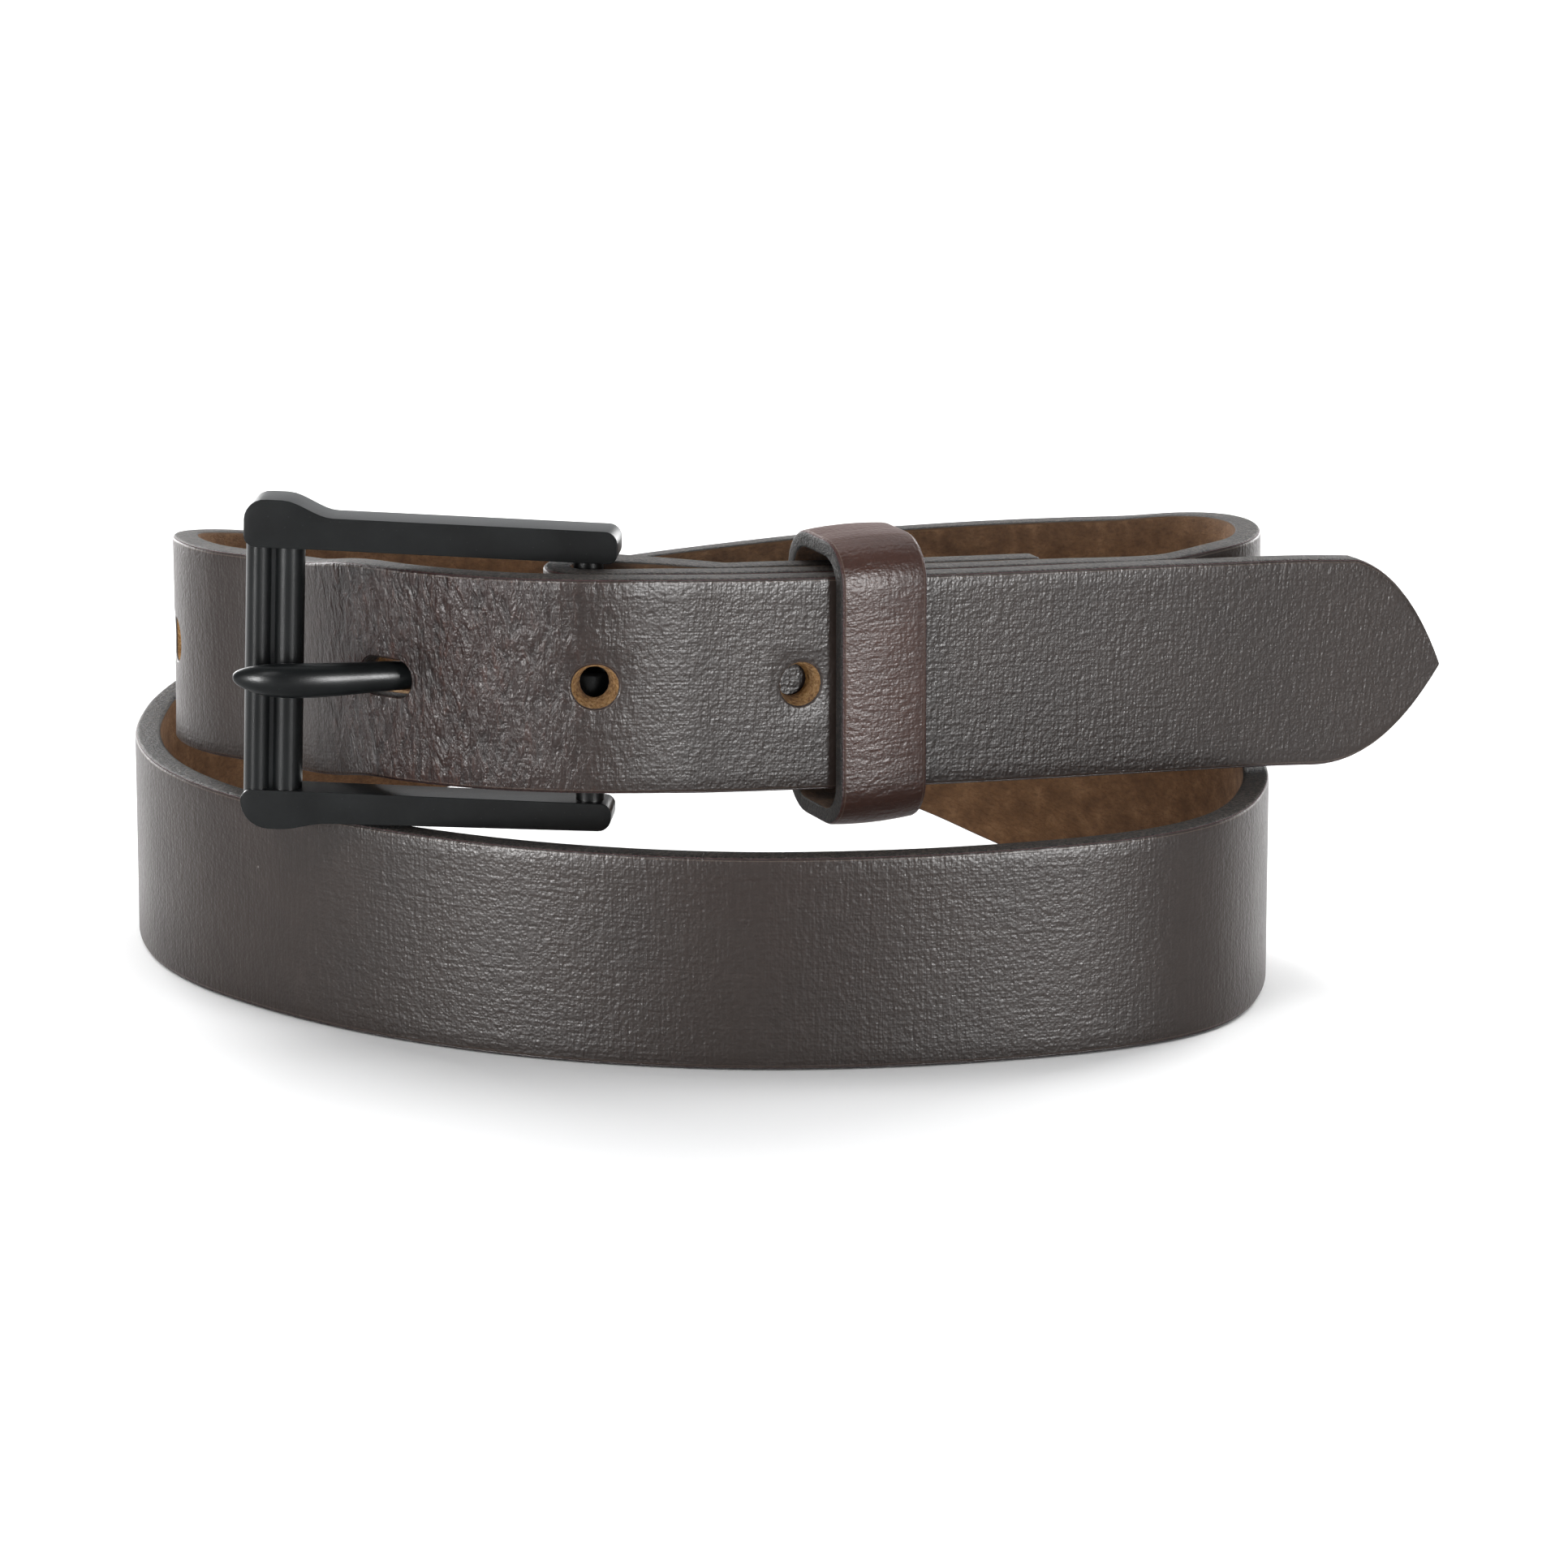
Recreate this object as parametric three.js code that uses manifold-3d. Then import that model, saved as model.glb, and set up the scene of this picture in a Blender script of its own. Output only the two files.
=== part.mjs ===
// A leather belt, coiled in two turns and buckled, standing on its edge.
// Millimetres, +Z up. The origin is under the middle of the object, on the surface it stands on.
// The buckle faces -Y, and the free end points to +X.

import * as THREE from 'three';
import { mergeVertices } from 'three/addons/utils/BufferGeometryUtils.js';
import Module from 'manifold-3d';

const wasm = await Module();
wasm.setup();

// ---- driving dimensions -------------------------------------------------------------------------

const STRAP_WIDTH = 28.6;
const STRAP_THICK = 3.6;
const EDGE_BEVEL = 0.6;
const GAP = 0.35;                       // clearance between neighbouring pieces
const LAYER = STRAP_THICK + GAP;        // from one layer of leather to the next
const STEPS_PER_SPAN = 3;               // ribbon stations between two route points

const HOLE_DIAMETER = 5.8;
const HOLE_PITCH = 28;
const TIP_TO_FIRST_HOLE = 97.9;
const HOLE_COUNT = 5;
const TIP_LENGTH = 15;

const HEEL_X = -25.5;                   // the heel bar's axis is vertical, through this point
const HEEL_Y = 21.6;
const BUCKLE_Z = 49.2;                  // height of the buckle's middle at the heel bar
const FOLD_Z = 49.8;                    // height of the fold's middle
const TONGUE_Z = 48.6;                  // height of the tongue's middle
const HEEL_BAR_DIAMETER = 3.9;
const BUCKLE_TURN = -5 * Math.PI / 180; // the front bar lies a little further back than the heel bar
const BUCKLE_TILT = 1.7 * Math.PI / 180; // and a little higher
const FRONT_BAR_REACH = 45.3;           // from the heel bar's axis to the outer side of the front bar
const FRONT_BAR_WIDTH = 7.8;
const RAIL_END_REACH = 3.4;             // the rails' ends, past the heel bar's axis
const RAIL_HEIGHT = 4.3;
const WINDOW_HALF = 15.8;               // half the clear height between the rails
const CORNER_HALF = 22.1;               // half the height over the front corners
const BUCKLE_DEPTH = 5.8;
const BUCKLE_BEVEL = 1.1;

const TONGUE_DIAMETER = 3.8;
const TONGUE_HOLE_GAP = 0.4;            // room round the tongue where it passes through the strap
const TONGUE_SWING = [0, 1.25, 2.5];    // degrees outward that the hole leaves room for
const CURL_WALL = 2.4;
const CURL_HEIGHT = 4;
const SLOT_HEIGHT = 6.4;                // the oblong slot in the fold, for the tongue's curl
const SLOT_LENGTH = 15;

const KEEPER_WIDTH = 12.4;
const KEEPER_THICK = 2.6;
const KEEPER_HEIGHT = 39;
const KEEPER_DEPTH = 18.4;
const KEEPER_CORNER = 6.2;
const KEEPER_PLACE = 0.446;             // along the free end, 0 at the buckle and 1 at the tip

const STAPLE_WIRE = 0.9;                // the staples that join the keeper's ends at the back
const STAPLE_LENGTH = 7;
const STAPLE_PLACES = [-3.2, 3.2];      // across the keeper's width
const STAPLE_LEG_HEIGHT = (STAPLE_LENGTH - STAPLE_WIRE) / 2;
const SEAM_WIDTH = 0.8;                 // the groove where the keeper's ends meet
const SEAM_DEPTH = 0.7;

const POST_HEAD_DIAMETER = 9;
const POST_HEAD_THICK = 1;
const POST_BARREL_DIAMETER = 4.8;
const POST_BORE_DIAMETER = 3.2;
const SCREW_SHANK_DIAMETER = 2.5;
const SCREW_HEAD_THICK = 1.2;
const SCREW_STANDOFF = 0.75;            // from the flap's face to the screw's head
const POST_PLACES = [0.27, 0.565];      // along the free end, one each side of the keeper

// Shift that brings the middle of the object's box over the origin.
const CENTRE_X = -0.37;
const CENTRE_Y = 61.88;

// ---- materials ----------------------------------------------------------------------------------

function finish(color, roughness, metalness) {
  return new THREE.MeshStandardMaterial({ color, roughness, metalness });
}

const BROWN_LEATHER = () => finish(0x4a3b36, 0.45, 0);
const BLACK_METAL = () => finish(0x17191a, 0.42, 0.85);
const DARK_STEEL = () => finish(0x3a3a3a, 0.35, 1);

// ---- solids -------------------------------------------------------------------------------------

function toSolid(geometry) {
  const bare = geometry.index ? geometry.toNonIndexed() : geometry.clone();
  bare.deleteAttribute('normal');
  bare.deleteAttribute('uv');
  const merged = mergeVertices(bare, 1e-4);
  return new wasm.Manifold(new wasm.Mesh({
    numProp: 3,
    vertProperties: new Float32Array(merged.attributes.position.array),
    triVerts: new Uint32Array(merged.index.array),
  }));
}

function toGeometry(solid) {
  const mesh = solid.getMesh();
  const geometry = new THREE.BufferGeometry();
  geometry.setAttribute('position', new THREE.BufferAttribute(mesh.vertProperties, 3));
  geometry.setIndex(new THREE.BufferAttribute(mesh.triVerts, 1));
  geometry.computeVertexNormals();
  return geometry;
}

function piece(name, solid, material) {
  const mesh = new THREE.Mesh(toGeometry(solid), material);
  mesh.name = name;
  return mesh;
}

// A cylinder of the given diameter from z = low to z = high, before placing.
function rod(diameter, low, high, segments = 24) {
  const geometry = new THREE.CylinderGeometry(diameter / 2, diameter / 2, high - low, segments);
  geometry.rotateX(Math.PI / 2);
  geometry.translate(0, 0, (low + high) / 2);
  return geometry;
}

// ---- the strap's route --------------------------------------------------------------------------
// Points on the middle line of the leather: x, y, and the height of the strap's middle.

// The free end, from the left turn, behind the front bar and over the heel bar, to the tip.
const FREE_END = [
  [-65.6, 44.6, 45.8],
  [-60.6, 36.4, 47],
  [-55.2, 28.8, 48.7],
  [-49.2, 22.8, 49.3],
  [-42.6, 18.2, 49.7],
  [-35.2, 15.2, 49.9],
  [-25.3, 13.5, 50],
  [-15.6, 15.6, 49.5],
  [-8, 18.9, 48.8],
  [1.3, 23, 48.1],
  [19.3, 31.1, 46.8],
  [36.2, 39.1, 45.7],
  [53.2, 47.5, 44.6],
  [70.1, 56.6, 43.2],
  [88.8, 66.7, 40.7],
];

// From the end of the layered front, round the two turns, to the left turn of the free end.
const LOOPS = [
  [57.6, 55.1, 45.1],
  [61.5, 59.9, 45.1],
  [63.2, 66, 45],
  [62.8, 72.4, 44.8],
  [60.4, 78.8, 44.2],
  [56, 85, 43.1],
  [49, 91, 41.4],
  [40, 96.4, 40],
  [27, 102.2, 38.2],
  [10, 107.8, 35.8],
  [-8, 112.6, 32.8],
  [-24, 115.2, 30.1],
  [-41, 115.6, 27.2],
  [-57.5, 113.2, 24],
  [-71, 108.4, 20.8],
  [-81, 100.6, 17.8],
  [-86.6, 91.6, 15.6],
  [-88.3, 82, 14.6],
  [-87.6, 71.5, 14.38],
  [-84.4, 59.6, 14.3],
  [-78.6, 48.6, 14.3],
  [-70.4, 38.6, 14.3],
  [-60.6, 29.4, 14.3],
  [-49.2, 21.4, 14.3],
  [-35.4, 14.6, 14.3],
  [-20, 10, 14.3],
  [-4, 8, 14.3],
  [14, 9.2, 14.3],
  [31, 13, 14.3],
  [43, 17.4, 14.3],
  [51.4, 22.4, 14.3],
  [57, 28.2, 14.3],
  [60.6, 35.2, 14.3],
  [62.8, 43.4, 14.3],
  [63.8, 50.4, 14.3],
  [64, 56.6, 14.33],
  [63.5, 63, 14.35],
  [62, 69.4, 14.5],
  [59.2, 75, 14.9],
  [54.8, 80, 15.7],
  [49, 84.2, 17.1],
  [42, 88.4, 19.3],
  [33, 92.8, 22.4],
  [20.4, 97.8, 26.8],
  [0, 102.2, 31],
  [-22, 102.8, 33.2],
  [-44, 99.6, 35],
  [-60, 94.4, 37.2],
  [-71.4, 87.8, 39.6],
  [-78.4, 80.6, 41.6],
  [-81.9, 73, 43],
  [-80.6, 65, 43.8],
  [-76.8, 57.6, 44.4],
  [-71.4, 51.4, 45],
];

const POINT = (p) => new THREE.Vector3(p[0], p[1], p[2]);

// The level direction across the leather, from its brown face to its inner face.
function inward(along) {
  return new THREE.Vector3(-along.y, along.x, 0).normalize();
}

const freeEnd = new THREE.CatmullRomCurve3(FREE_END.map(POINT), false, 'centripetal');

// A point on the free end moved inward by a number of layers, for the straps that lie behind it.
function behindFreeEnd(index, layers) {
  const t = index / (FREE_END.length - 1);
  const side = inward(freeEnd.getTangent(t));
  return freeEnd.getPoint(t).addScaledVector(side, layers * LAYER);
}

// The fixed end: the flap at the back, the fold round the heel bar and the strap that leaves it.
function fixedEndRoute() {
  const foldRadius = HEEL_BAR_DIAMETER / 2 + GAP + STRAP_THICK / 2;
  const flap = [11, 10, 9, 8].map((index) => behindFreeEnd(index, 2));
  flap.push(new THREE.Vector3(-18.8, 24.5, FOLD_Z));
  const fold = [];
  for (let degrees = 90; degrees <= 270; degrees += 22.5) {
    const angle = degrees * Math.PI / 180;
    fold.push(new THREE.Vector3(
      HEEL_X + foldRadius * Math.cos(angle), HEEL_Y + foldRadius * Math.sin(angle), FOLD_Z));
  }
  const main = [7, 8, 9, 10, 11, 12].map((index) => behindFreeEnd(index, 1));
  return [...flap, ...fold, ...main];
}

// A curve whose frames keep the strap's width as near to vertical as its slope allows.
class StrapRoute extends THREE.CatmullRomCurve3 {
  getSpacedPoints(divisions) {
    return this.getPoints(divisions);
  }

  frameAt(t) {
    const along = this.getTangent(t);
    const across = inward(along);
    const up = new THREE.Vector3().crossVectors(along, across).normalize();
    return { along, across, up };
  }

  computeFrenetFrames(segments) {
    const frames = { tangents: [], normals: [], binormals: [] };
    for (let i = 0; i <= segments; i += 1) {
      const frame = this.frameAt(i / segments);
      frames.tangents.push(frame.along);
      frames.normals.push(frame.across);
      frames.binormals.push(frame.up);
    }
    return frames;
  }
}

const routePoints = [...fixedEndRoute(), ...LOOPS.map(POINT), ...FREE_END.map(POINT)];
const route = new StrapRoute(routePoints, false, 'centripetal');
const ROUTE_SPANS = routePoints.length - 1;

// The route's parameter for a place on the free end, 0 at the buckle and 1 at the tip.
const BUCKLE_SPAN = ROUTE_SPANS - 8;
const onFreeEnd = (place) => (BUCKLE_SPAN + place * 8) / ROUTE_SPANS;

// The route's parameter at a distance back from the tip, found on a fine table of lengths.
function fromTip(distance) {
  const samples = 4000;
  const lengths = route.getLengths(samples);
  const target = lengths[samples] - distance;
  const index = lengths.findIndex((length) => length >= target);
  return index / samples;
}

// A matrix that puts local x along the strap, y across it (inward) and z up its width.
function strapMatrix(t, layers = 0) {
  const { along, across, up } = route.frameAt(t);
  const origin = route.getPoint(t).addScaledVector(across, layers * LAYER);
  return new THREE.Matrix4().makeBasis(along, across, up).setPosition(origin);
}

// ---- the strap ----------------------------------------------------------------------------------

function strapSection() {
  const x = STRAP_THICK / 2;
  const y = STRAP_WIDTH / 2;
  const b = EDGE_BEVEL;
  const shape = new THREE.Shape();
  shape.moveTo(-x, -y + b);
  shape.lineTo(-x + b, -y);
  shape.lineTo(x - b, -y);
  shape.lineTo(x, -y + b);
  shape.lineTo(x, y - b);
  shape.lineTo(x - b, y);
  shape.lineTo(-x + b, y);
  shape.lineTo(-x, y - b);
  return shape;
}

// What is cut away at the free end, in the strap's own plane: x along the strap, y up its width.
function tipCutter() {
  const half = STRAP_WIDTH / 2;
  const shape = new THREE.Shape();
  shape.moveTo(-TIP_LENGTH - 4, -half - 1);
  shape.lineTo(3, -half - 1);
  shape.lineTo(3, half + 1);
  shape.lineTo(-TIP_LENGTH, half + 1);
  shape.lineTo(-TIP_LENGTH, half);
  shape.bezierCurveTo(-8.5, half - 1.6, -3.6, 6.6, -0.6, 1.2);
  shape.quadraticCurveTo(0, 0, -0.6, -1.2);
  shape.bezierCurveTo(-4.4, -8, -9.6, -half, -TIP_LENGTH - 4, -half);
  const depth = STRAP_THICK + 4;
  const geometry = new THREE.ExtrudeGeometry(shape, { depth, bevelEnabled: false, curveSegments: 8 });
  geometry.translate(0, 0, -depth / 2);
  geometry.rotateX(Math.PI / 2);
  geometry.applyMatrix4(strapMatrix(1));
  return toSolid(geometry);
}

function holeCutter(t) {
  const geometry = rod(HOLE_DIAMETER, -STRAP_THICK, STRAP_THICK, 20);
  geometry.rotateX(Math.PI / 2);
  geometry.applyMatrix4(strapMatrix(t));
  return toSolid(geometry);
}

// The oblong slot round the fold, wide enough for the tongue's curl to turn in.
function slotCutter() {
  const reach = HEEL_BAR_DIAMETER / 2 + GAP + STRAP_THICK + 0.05;
  const geometry = new THREE.BoxGeometry(SLOT_LENGTH, 2 * reach, SLOT_HEIGHT);
  geometry.translate(HEEL_X - reach + SLOT_LENGTH / 2, HEEL_Y, TONGUE_Z);
  return toSolid(geometry);
}

// A post's barrel hole through both layers, with a shallow seat for its head in the brown face.
function postCutter(place) {
  const barrel = rod(POST_BARREL_DIAMETER + 2 * GAP, -STRAP_THICK, 1.5 * LAYER + STRAP_THICK);
  const seatDepth = POST_HEAD_THICK + GAP;
  const seat = rod(POST_HEAD_DIAMETER + 2 * GAP, -STRAP_THICK / 2 - GAP / 2,
    -STRAP_THICK / 2 + seatDepth);
  return placed(toSolid(barrel).add(toSolid(seat)), postMatrix(place));
}

// Local z of a post runs inward through the leather, from the middle of the strap behind the tail.
function postMatrix(place) {
  const matrix = strapMatrix(onFreeEnd(place), 1);
  return matrix.multiply(new THREE.Matrix4().makeRotationX(-Math.PI / 2));
}

function placed(solid, matrix) {
  const geometry = toGeometry(solid);
  geometry.applyMatrix4(matrix);
  return toSolid(geometry);
}

function strap() {
  const steps = ROUTE_SPANS * STEPS_PER_SPAN;
  const ribbon = new THREE.ExtrudeGeometry(strapSection(), { steps, extrudePath: route });
  let solid = toSolid(ribbon);
  solid = solid.subtract(tipCutter());
  for (let hole = 0; hole < HOLE_COUNT; hole += 1) {
    solid = solid.subtract(holeCutter(fromTip(TIP_TO_FIRST_HOLE + hole * HOLE_PITCH)));
  }
  solid = solid.subtract(slotCutter());
  for (const place of POST_PLACES) {
    solid = solid.subtract(postCutter(place));
  }
  for (const degrees of TONGUE_SWING) {
    const shank = tongueShank(TONGUE_HOLE_GAP);
    shank.translate(-HEEL_X, -HEEL_Y, 0);
    shank.rotateZ(degrees * Math.PI / 180);
    shank.translate(HEEL_X, HEEL_Y, 0);
    solid = solid.subtract(toSolid(shank));
  }
  return piece('strap', solid, BROWN_LEATHER());
}

// ---- the buckle ---------------------------------------------------------------------------------

// The frame's outline from the front: x from the heel bar's axis (negative to the front bar), y up.
function frameOutline() {
  const left = -FRONT_BAR_REACH;
  const right = RAIL_END_REACH;
  const rail = WINDOW_HALF + RAIL_HEIGHT;
  const b = BUCKLE_BEVEL;
  const shape = new THREE.Shape();
  shape.moveTo(right - b, -rail + b + 1.2);
  shape.quadraticCurveTo(right - b, -rail + b, right - b - 1.4, -rail + b);
  shape.lineTo(left + 13, -rail + b);
  shape.bezierCurveTo(left + 9, -rail + b, left + 9, -CORNER_HALF + b, left + 5.4, -CORNER_HALF + b);
  shape.lineTo(left + 3.6, -CORNER_HALF + b);
  shape.quadraticCurveTo(left + b, -CORNER_HALF + b, left + b, -CORNER_HALF + 3.6);
  shape.lineTo(left + b, CORNER_HALF - 3.6);
  shape.quadraticCurveTo(left + b, CORNER_HALF - b, left + 3.6, CORNER_HALF - b);
  shape.lineTo(left + 5.4, CORNER_HALF - b);
  shape.bezierCurveTo(left + 9, CORNER_HALF - b, left + 9, rail - b, left + 13, rail - b);
  shape.lineTo(right - b - 1.4, rail - b);
  shape.quadraticCurveTo(right - b, rail - b, right - b, rail - b - 1.2);
  shape.lineTo(right - b, WINDOW_HALF + b);
  shape.lineTo(left + FRONT_BAR_WIDTH - b, WINDOW_HALF + b);
  shape.lineTo(left + FRONT_BAR_WIDTH - b, -WINDOW_HALF - b);
  shape.lineTo(right - b, -WINDOW_HALF - b);
  return shape;
}

function buckleFrame() {
  const geometry = new THREE.ExtrudeGeometry(frameOutline(), {
    depth: BUCKLE_DEPTH - 2 * BUCKLE_BEVEL,
    bevelThickness: BUCKLE_BEVEL,
    bevelSize: BUCKLE_BEVEL,
    bevelSegments: 2,
    curveSegments: 6,
  });
  geometry.translate(0, 0, -(BUCKLE_DEPTH - 2 * BUCKLE_BEVEL) / 2);
  geometry.rotateX(Math.PI / 2);
  geometry.rotateY(BUCKLE_TILT);
  const heelBar = rod(HEEL_BAR_DIAMETER, -WINDOW_HALF - 1.5, WINDOW_HALF + 1.5);
  const solid = toSolid(geometry).add(toSolid(heelBar));
  return piece('buckle_frame', placed(solid, buckleMatrix()), BLACK_METAL());
}

function buckleMatrix() {
  return new THREE.Matrix4().makeRotationZ(BUCKLE_TURN).setPosition(HEEL_X, HEEL_Y, BUCKLE_Z);
}

// ---- the tongue ---------------------------------------------------------------------------------

// From the curl, behind the strap, through its hole and over the front bar.
const TONGUE_ROUTE = [
  [-29.2, 22.2],
  [-34, 23.4],
  [-40, 24.5],
  [-46, 25],
  [-51.5, 24],
  [-57, 21.6],
  [-62, 19.8],
  [-65.5, 19.3],
  [-68.4, 19.7],
  [-70.6, 20.3],
];

function tongueShank(extra) {
  const radius = TONGUE_DIAMETER / 2 + extra;
  const points = TONGUE_ROUTE.map((p) => new THREE.Vector3(p[0], p[1], TONGUE_Z));
  const path = new THREE.CatmullRomCurve3(points, false, 'centripetal');
  const section = new THREE.Shape().absarc(0, 0, radius, 0, 2 * Math.PI);
  return new THREE.ExtrudeGeometry(section, { steps: 24, extrudePath: path, curveSegments: 7 });
}

function tongue() {
  const inner = HEEL_BAR_DIAMETER / 2 + GAP;
  const ring = new THREE.Shape().absarc(0, 0, inner + CURL_WALL, 0, 2 * Math.PI);
  ring.holes.push(new THREE.Path().absarc(0, 0, inner, 0, 2 * Math.PI));
  const curl = new THREE.ExtrudeGeometry(ring, {
    depth: CURL_HEIGHT, bevelEnabled: false, curveSegments: 16,
  });
  curl.translate(HEEL_X, HEEL_Y, TONGUE_Z - CURL_HEIGHT / 2);
  const bore = rod(2 * inner, -CURL_HEIGHT, CURL_HEIGHT, 32);
  bore.translate(HEEL_X, HEEL_Y, TONGUE_Z);
  const end = TONGUE_ROUTE[TONGUE_ROUTE.length - 1];
  const tip = new THREE.SphereGeometry(TONGUE_DIAMETER / 2, 14, 10);
  tip.translate(end[0], end[1], TONGUE_Z);
  const solid = toSolid(tongueShank(0)).add(toSolid(tip)).subtract(toSolid(bore));
  return piece('tongue', solid.add(toSolid(curl)), BLACK_METAL());
}

// ---- the keeper ---------------------------------------------------------------------------------

// The keeper's band as a ring: x across the layers, y up.
function keeperRing(grow) {
  const x = KEEPER_DEPTH / 2 + grow;
  const y = KEEPER_HEIGHT / 2 + grow;
  const r = KEEPER_CORNER + grow;
  const ring = new THREE.Shape();
  ring.moveTo(-x + r, -y);
  ring.lineTo(x - r, -y);
  ring.quadraticCurveTo(x, -y, x, -y + r);
  ring.lineTo(x, y - r);
  ring.quadraticCurveTo(x, y, x - r, y);
  ring.lineTo(-x + r, y);
  ring.quadraticCurveTo(-x, y, -x, y - r);
  ring.lineTo(-x, -y + r);
  ring.quadraticCurveTo(-x, -y, -x + r, -y);
  return ring;
}

function keeperMatrix() {
  const matrix = strapMatrix(onFreeEnd(KEEPER_PLACE), 1);
  const along = new THREE.Vector3().setFromMatrixColumn(matrix, 0);
  along.z = 0;
  along.normalize();
  const up = new THREE.Vector3(0, 0, 1);
  const origin = new THREE.Vector3().setFromMatrixPosition(matrix);
  return new THREE.Matrix4().makeBasis(along, inward(along), up).setPosition(origin);
}

// The keeper's own space has x along the strap, y inward and z up.
function keeperLoop() {
  const ring = keeperRing(0);
  ring.holes.push(keeperRing(-KEEPER_THICK));
  const geometry = new THREE.ExtrudeGeometry(ring, {
    depth: KEEPER_WIDTH, bevelEnabled: false, curveSegments: 6,
  });
  geometry.translate(0, 0, -KEEPER_WIDTH / 2);
  geometry.rotateZ(Math.PI / 2);
  geometry.rotateY(Math.PI / 2);
  const seam = new THREE.BoxGeometry(KEEPER_WIDTH + 1, 2 * SEAM_DEPTH, SEAM_WIDTH);
  seam.translate(0, KEEPER_DEPTH / 2, 0);
  let solid = toSolid(geometry).subtract(toSolid(seam));
  const holeSide = STAPLE_WIRE + 2 * GAP;
  for (const across of STAPLE_PLACES) {
    for (const height of [-STAPLE_LEG_HEIGHT, STAPLE_LEG_HEIGHT]) {
      const hole = new THREE.BoxGeometry(holeSide, 2 * KEEPER_THICK + 1, holeSide);
      hole.translate(across, KEEPER_DEPTH / 2, height);
      solid = solid.subtract(toSolid(hole));
    }
  }
  return piece('keeper_loop', placed(solid, keeperMatrix()), BROWN_LEATHER());
}

// A staple's crown lies on the keeper's back, and its legs run forward through the leather.
function staple(name, across) {
  const face = KEEPER_DEPTH / 2 + GAP;
  const crown = new THREE.BoxGeometry(STAPLE_WIRE, STAPLE_WIRE, STAPLE_LENGTH);
  crown.translate(across, face + STAPLE_WIRE / 2, 0);
  let solid = toSolid(crown);
  for (const height of [-STAPLE_LEG_HEIGHT, STAPLE_LEG_HEIGHT]) {
    const leg = new THREE.BoxGeometry(STAPLE_WIRE, KEEPER_THICK, STAPLE_WIRE);
    leg.translate(across, face + STAPLE_WIRE / 2 - KEEPER_THICK / 2, height);
    solid = solid.add(toSolid(leg));
  }
  return piece(name, placed(solid, keeperMatrix()), DARK_STEEL());
}

// ---- the post and screw sets --------------------------------------------------------------------

function post(name, place) {
  const headTop = -STRAP_THICK / 2;
  const barrelEnd = STRAP_THICK / 2 + LAYER - GAP;
  const head = rod(POST_HEAD_DIAMETER, headTop, headTop + POST_HEAD_THICK);
  const barrel = rod(POST_BARREL_DIAMETER, headTop + POST_HEAD_THICK / 2, barrelEnd);
  const bore = rod(POST_BORE_DIAMETER, headTop + POST_HEAD_THICK, barrelEnd + 1);
  const solid = toSolid(head).add(toSolid(barrel)).subtract(toSolid(bore));
  return piece(name, placed(solid, postMatrix(place)), DARK_STEEL());
}

function screw(name, place) {
  const face = STRAP_THICK / 2 + LAYER + SCREW_STANDOFF;
  const head = rod(POST_HEAD_DIAMETER, face, face + SCREW_HEAD_THICK);
  const shank = rod(SCREW_SHANK_DIAMETER, face - 4.5, face + SCREW_HEAD_THICK / 2);
  const slot = new THREE.BoxGeometry(POST_HEAD_DIAMETER + 1, 1.1, SCREW_HEAD_THICK);
  slot.translate(0, 0, face + 1.1 * SCREW_HEAD_THICK);
  const solid = toSolid(head).add(toSolid(shank)).subtract(toSolid(slot));
  return piece(name, placed(solid, postMatrix(place)), DARK_STEEL());
}

// ---- the assembly -------------------------------------------------------------------------------

const belt = new THREE.Group();
belt.add(strap(), buckleFrame(), tongue(), keeperLoop());
STAPLE_PLACES.forEach((across, index) => {
  belt.add(staple(`staple_${index + 1}`, across));
});
POST_PLACES.forEach((place, index) => {
  belt.add(post(`post_${index + 1}`, place), screw(`screw_${index + 1}`, place));
});
belt.position.set(-CENTRE_X, -CENTRE_Y, 0);

export default belt;
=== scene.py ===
import math

import bmesh
import bpy
import numpy as np
from mathutils import Matrix, Vector


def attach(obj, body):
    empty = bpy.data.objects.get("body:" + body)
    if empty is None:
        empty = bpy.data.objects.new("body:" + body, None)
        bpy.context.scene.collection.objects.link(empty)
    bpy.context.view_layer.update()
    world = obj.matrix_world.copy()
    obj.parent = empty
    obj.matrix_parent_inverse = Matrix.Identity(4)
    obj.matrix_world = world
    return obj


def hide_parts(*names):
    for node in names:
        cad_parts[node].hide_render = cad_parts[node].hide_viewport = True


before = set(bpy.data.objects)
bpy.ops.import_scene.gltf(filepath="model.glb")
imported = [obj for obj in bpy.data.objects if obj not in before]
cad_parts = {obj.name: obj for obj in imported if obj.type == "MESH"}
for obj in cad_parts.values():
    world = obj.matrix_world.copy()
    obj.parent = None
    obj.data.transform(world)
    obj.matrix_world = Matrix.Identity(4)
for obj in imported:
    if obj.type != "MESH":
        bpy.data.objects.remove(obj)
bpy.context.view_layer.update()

# The numbers below are in millimetres and in the maker's own space, as on the drawing of the belt.
# to_world moves them over the frame's origin and turns them into metres.
MM = 0.001
CENTRE = np.array([-0.37, 61.88, 0.0])


def to_world(points):
    return (np.asarray(points, float) - CENTRE) * MM


# ---- camera, floor and light --------------------------------------------------------------------

def camera():
    data = bpy.data.cameras.new("camera")
    data.sensor_width = 36
    data.lens = 169.94
    data.clip_start = 0.05
    data.clip_end = 30
    body = bpy.data.objects.new("camera", data)
    bpy.context.collection.objects.link(body)
    body.location = to_world((0, -921.8, 269.8))
    target = Vector(to_world((0, 0, 40)))
    body.rotation_euler = (target - body.location).to_track_quat("-Z", "Y").to_euler()
    bpy.context.scene.camera = body


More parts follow.
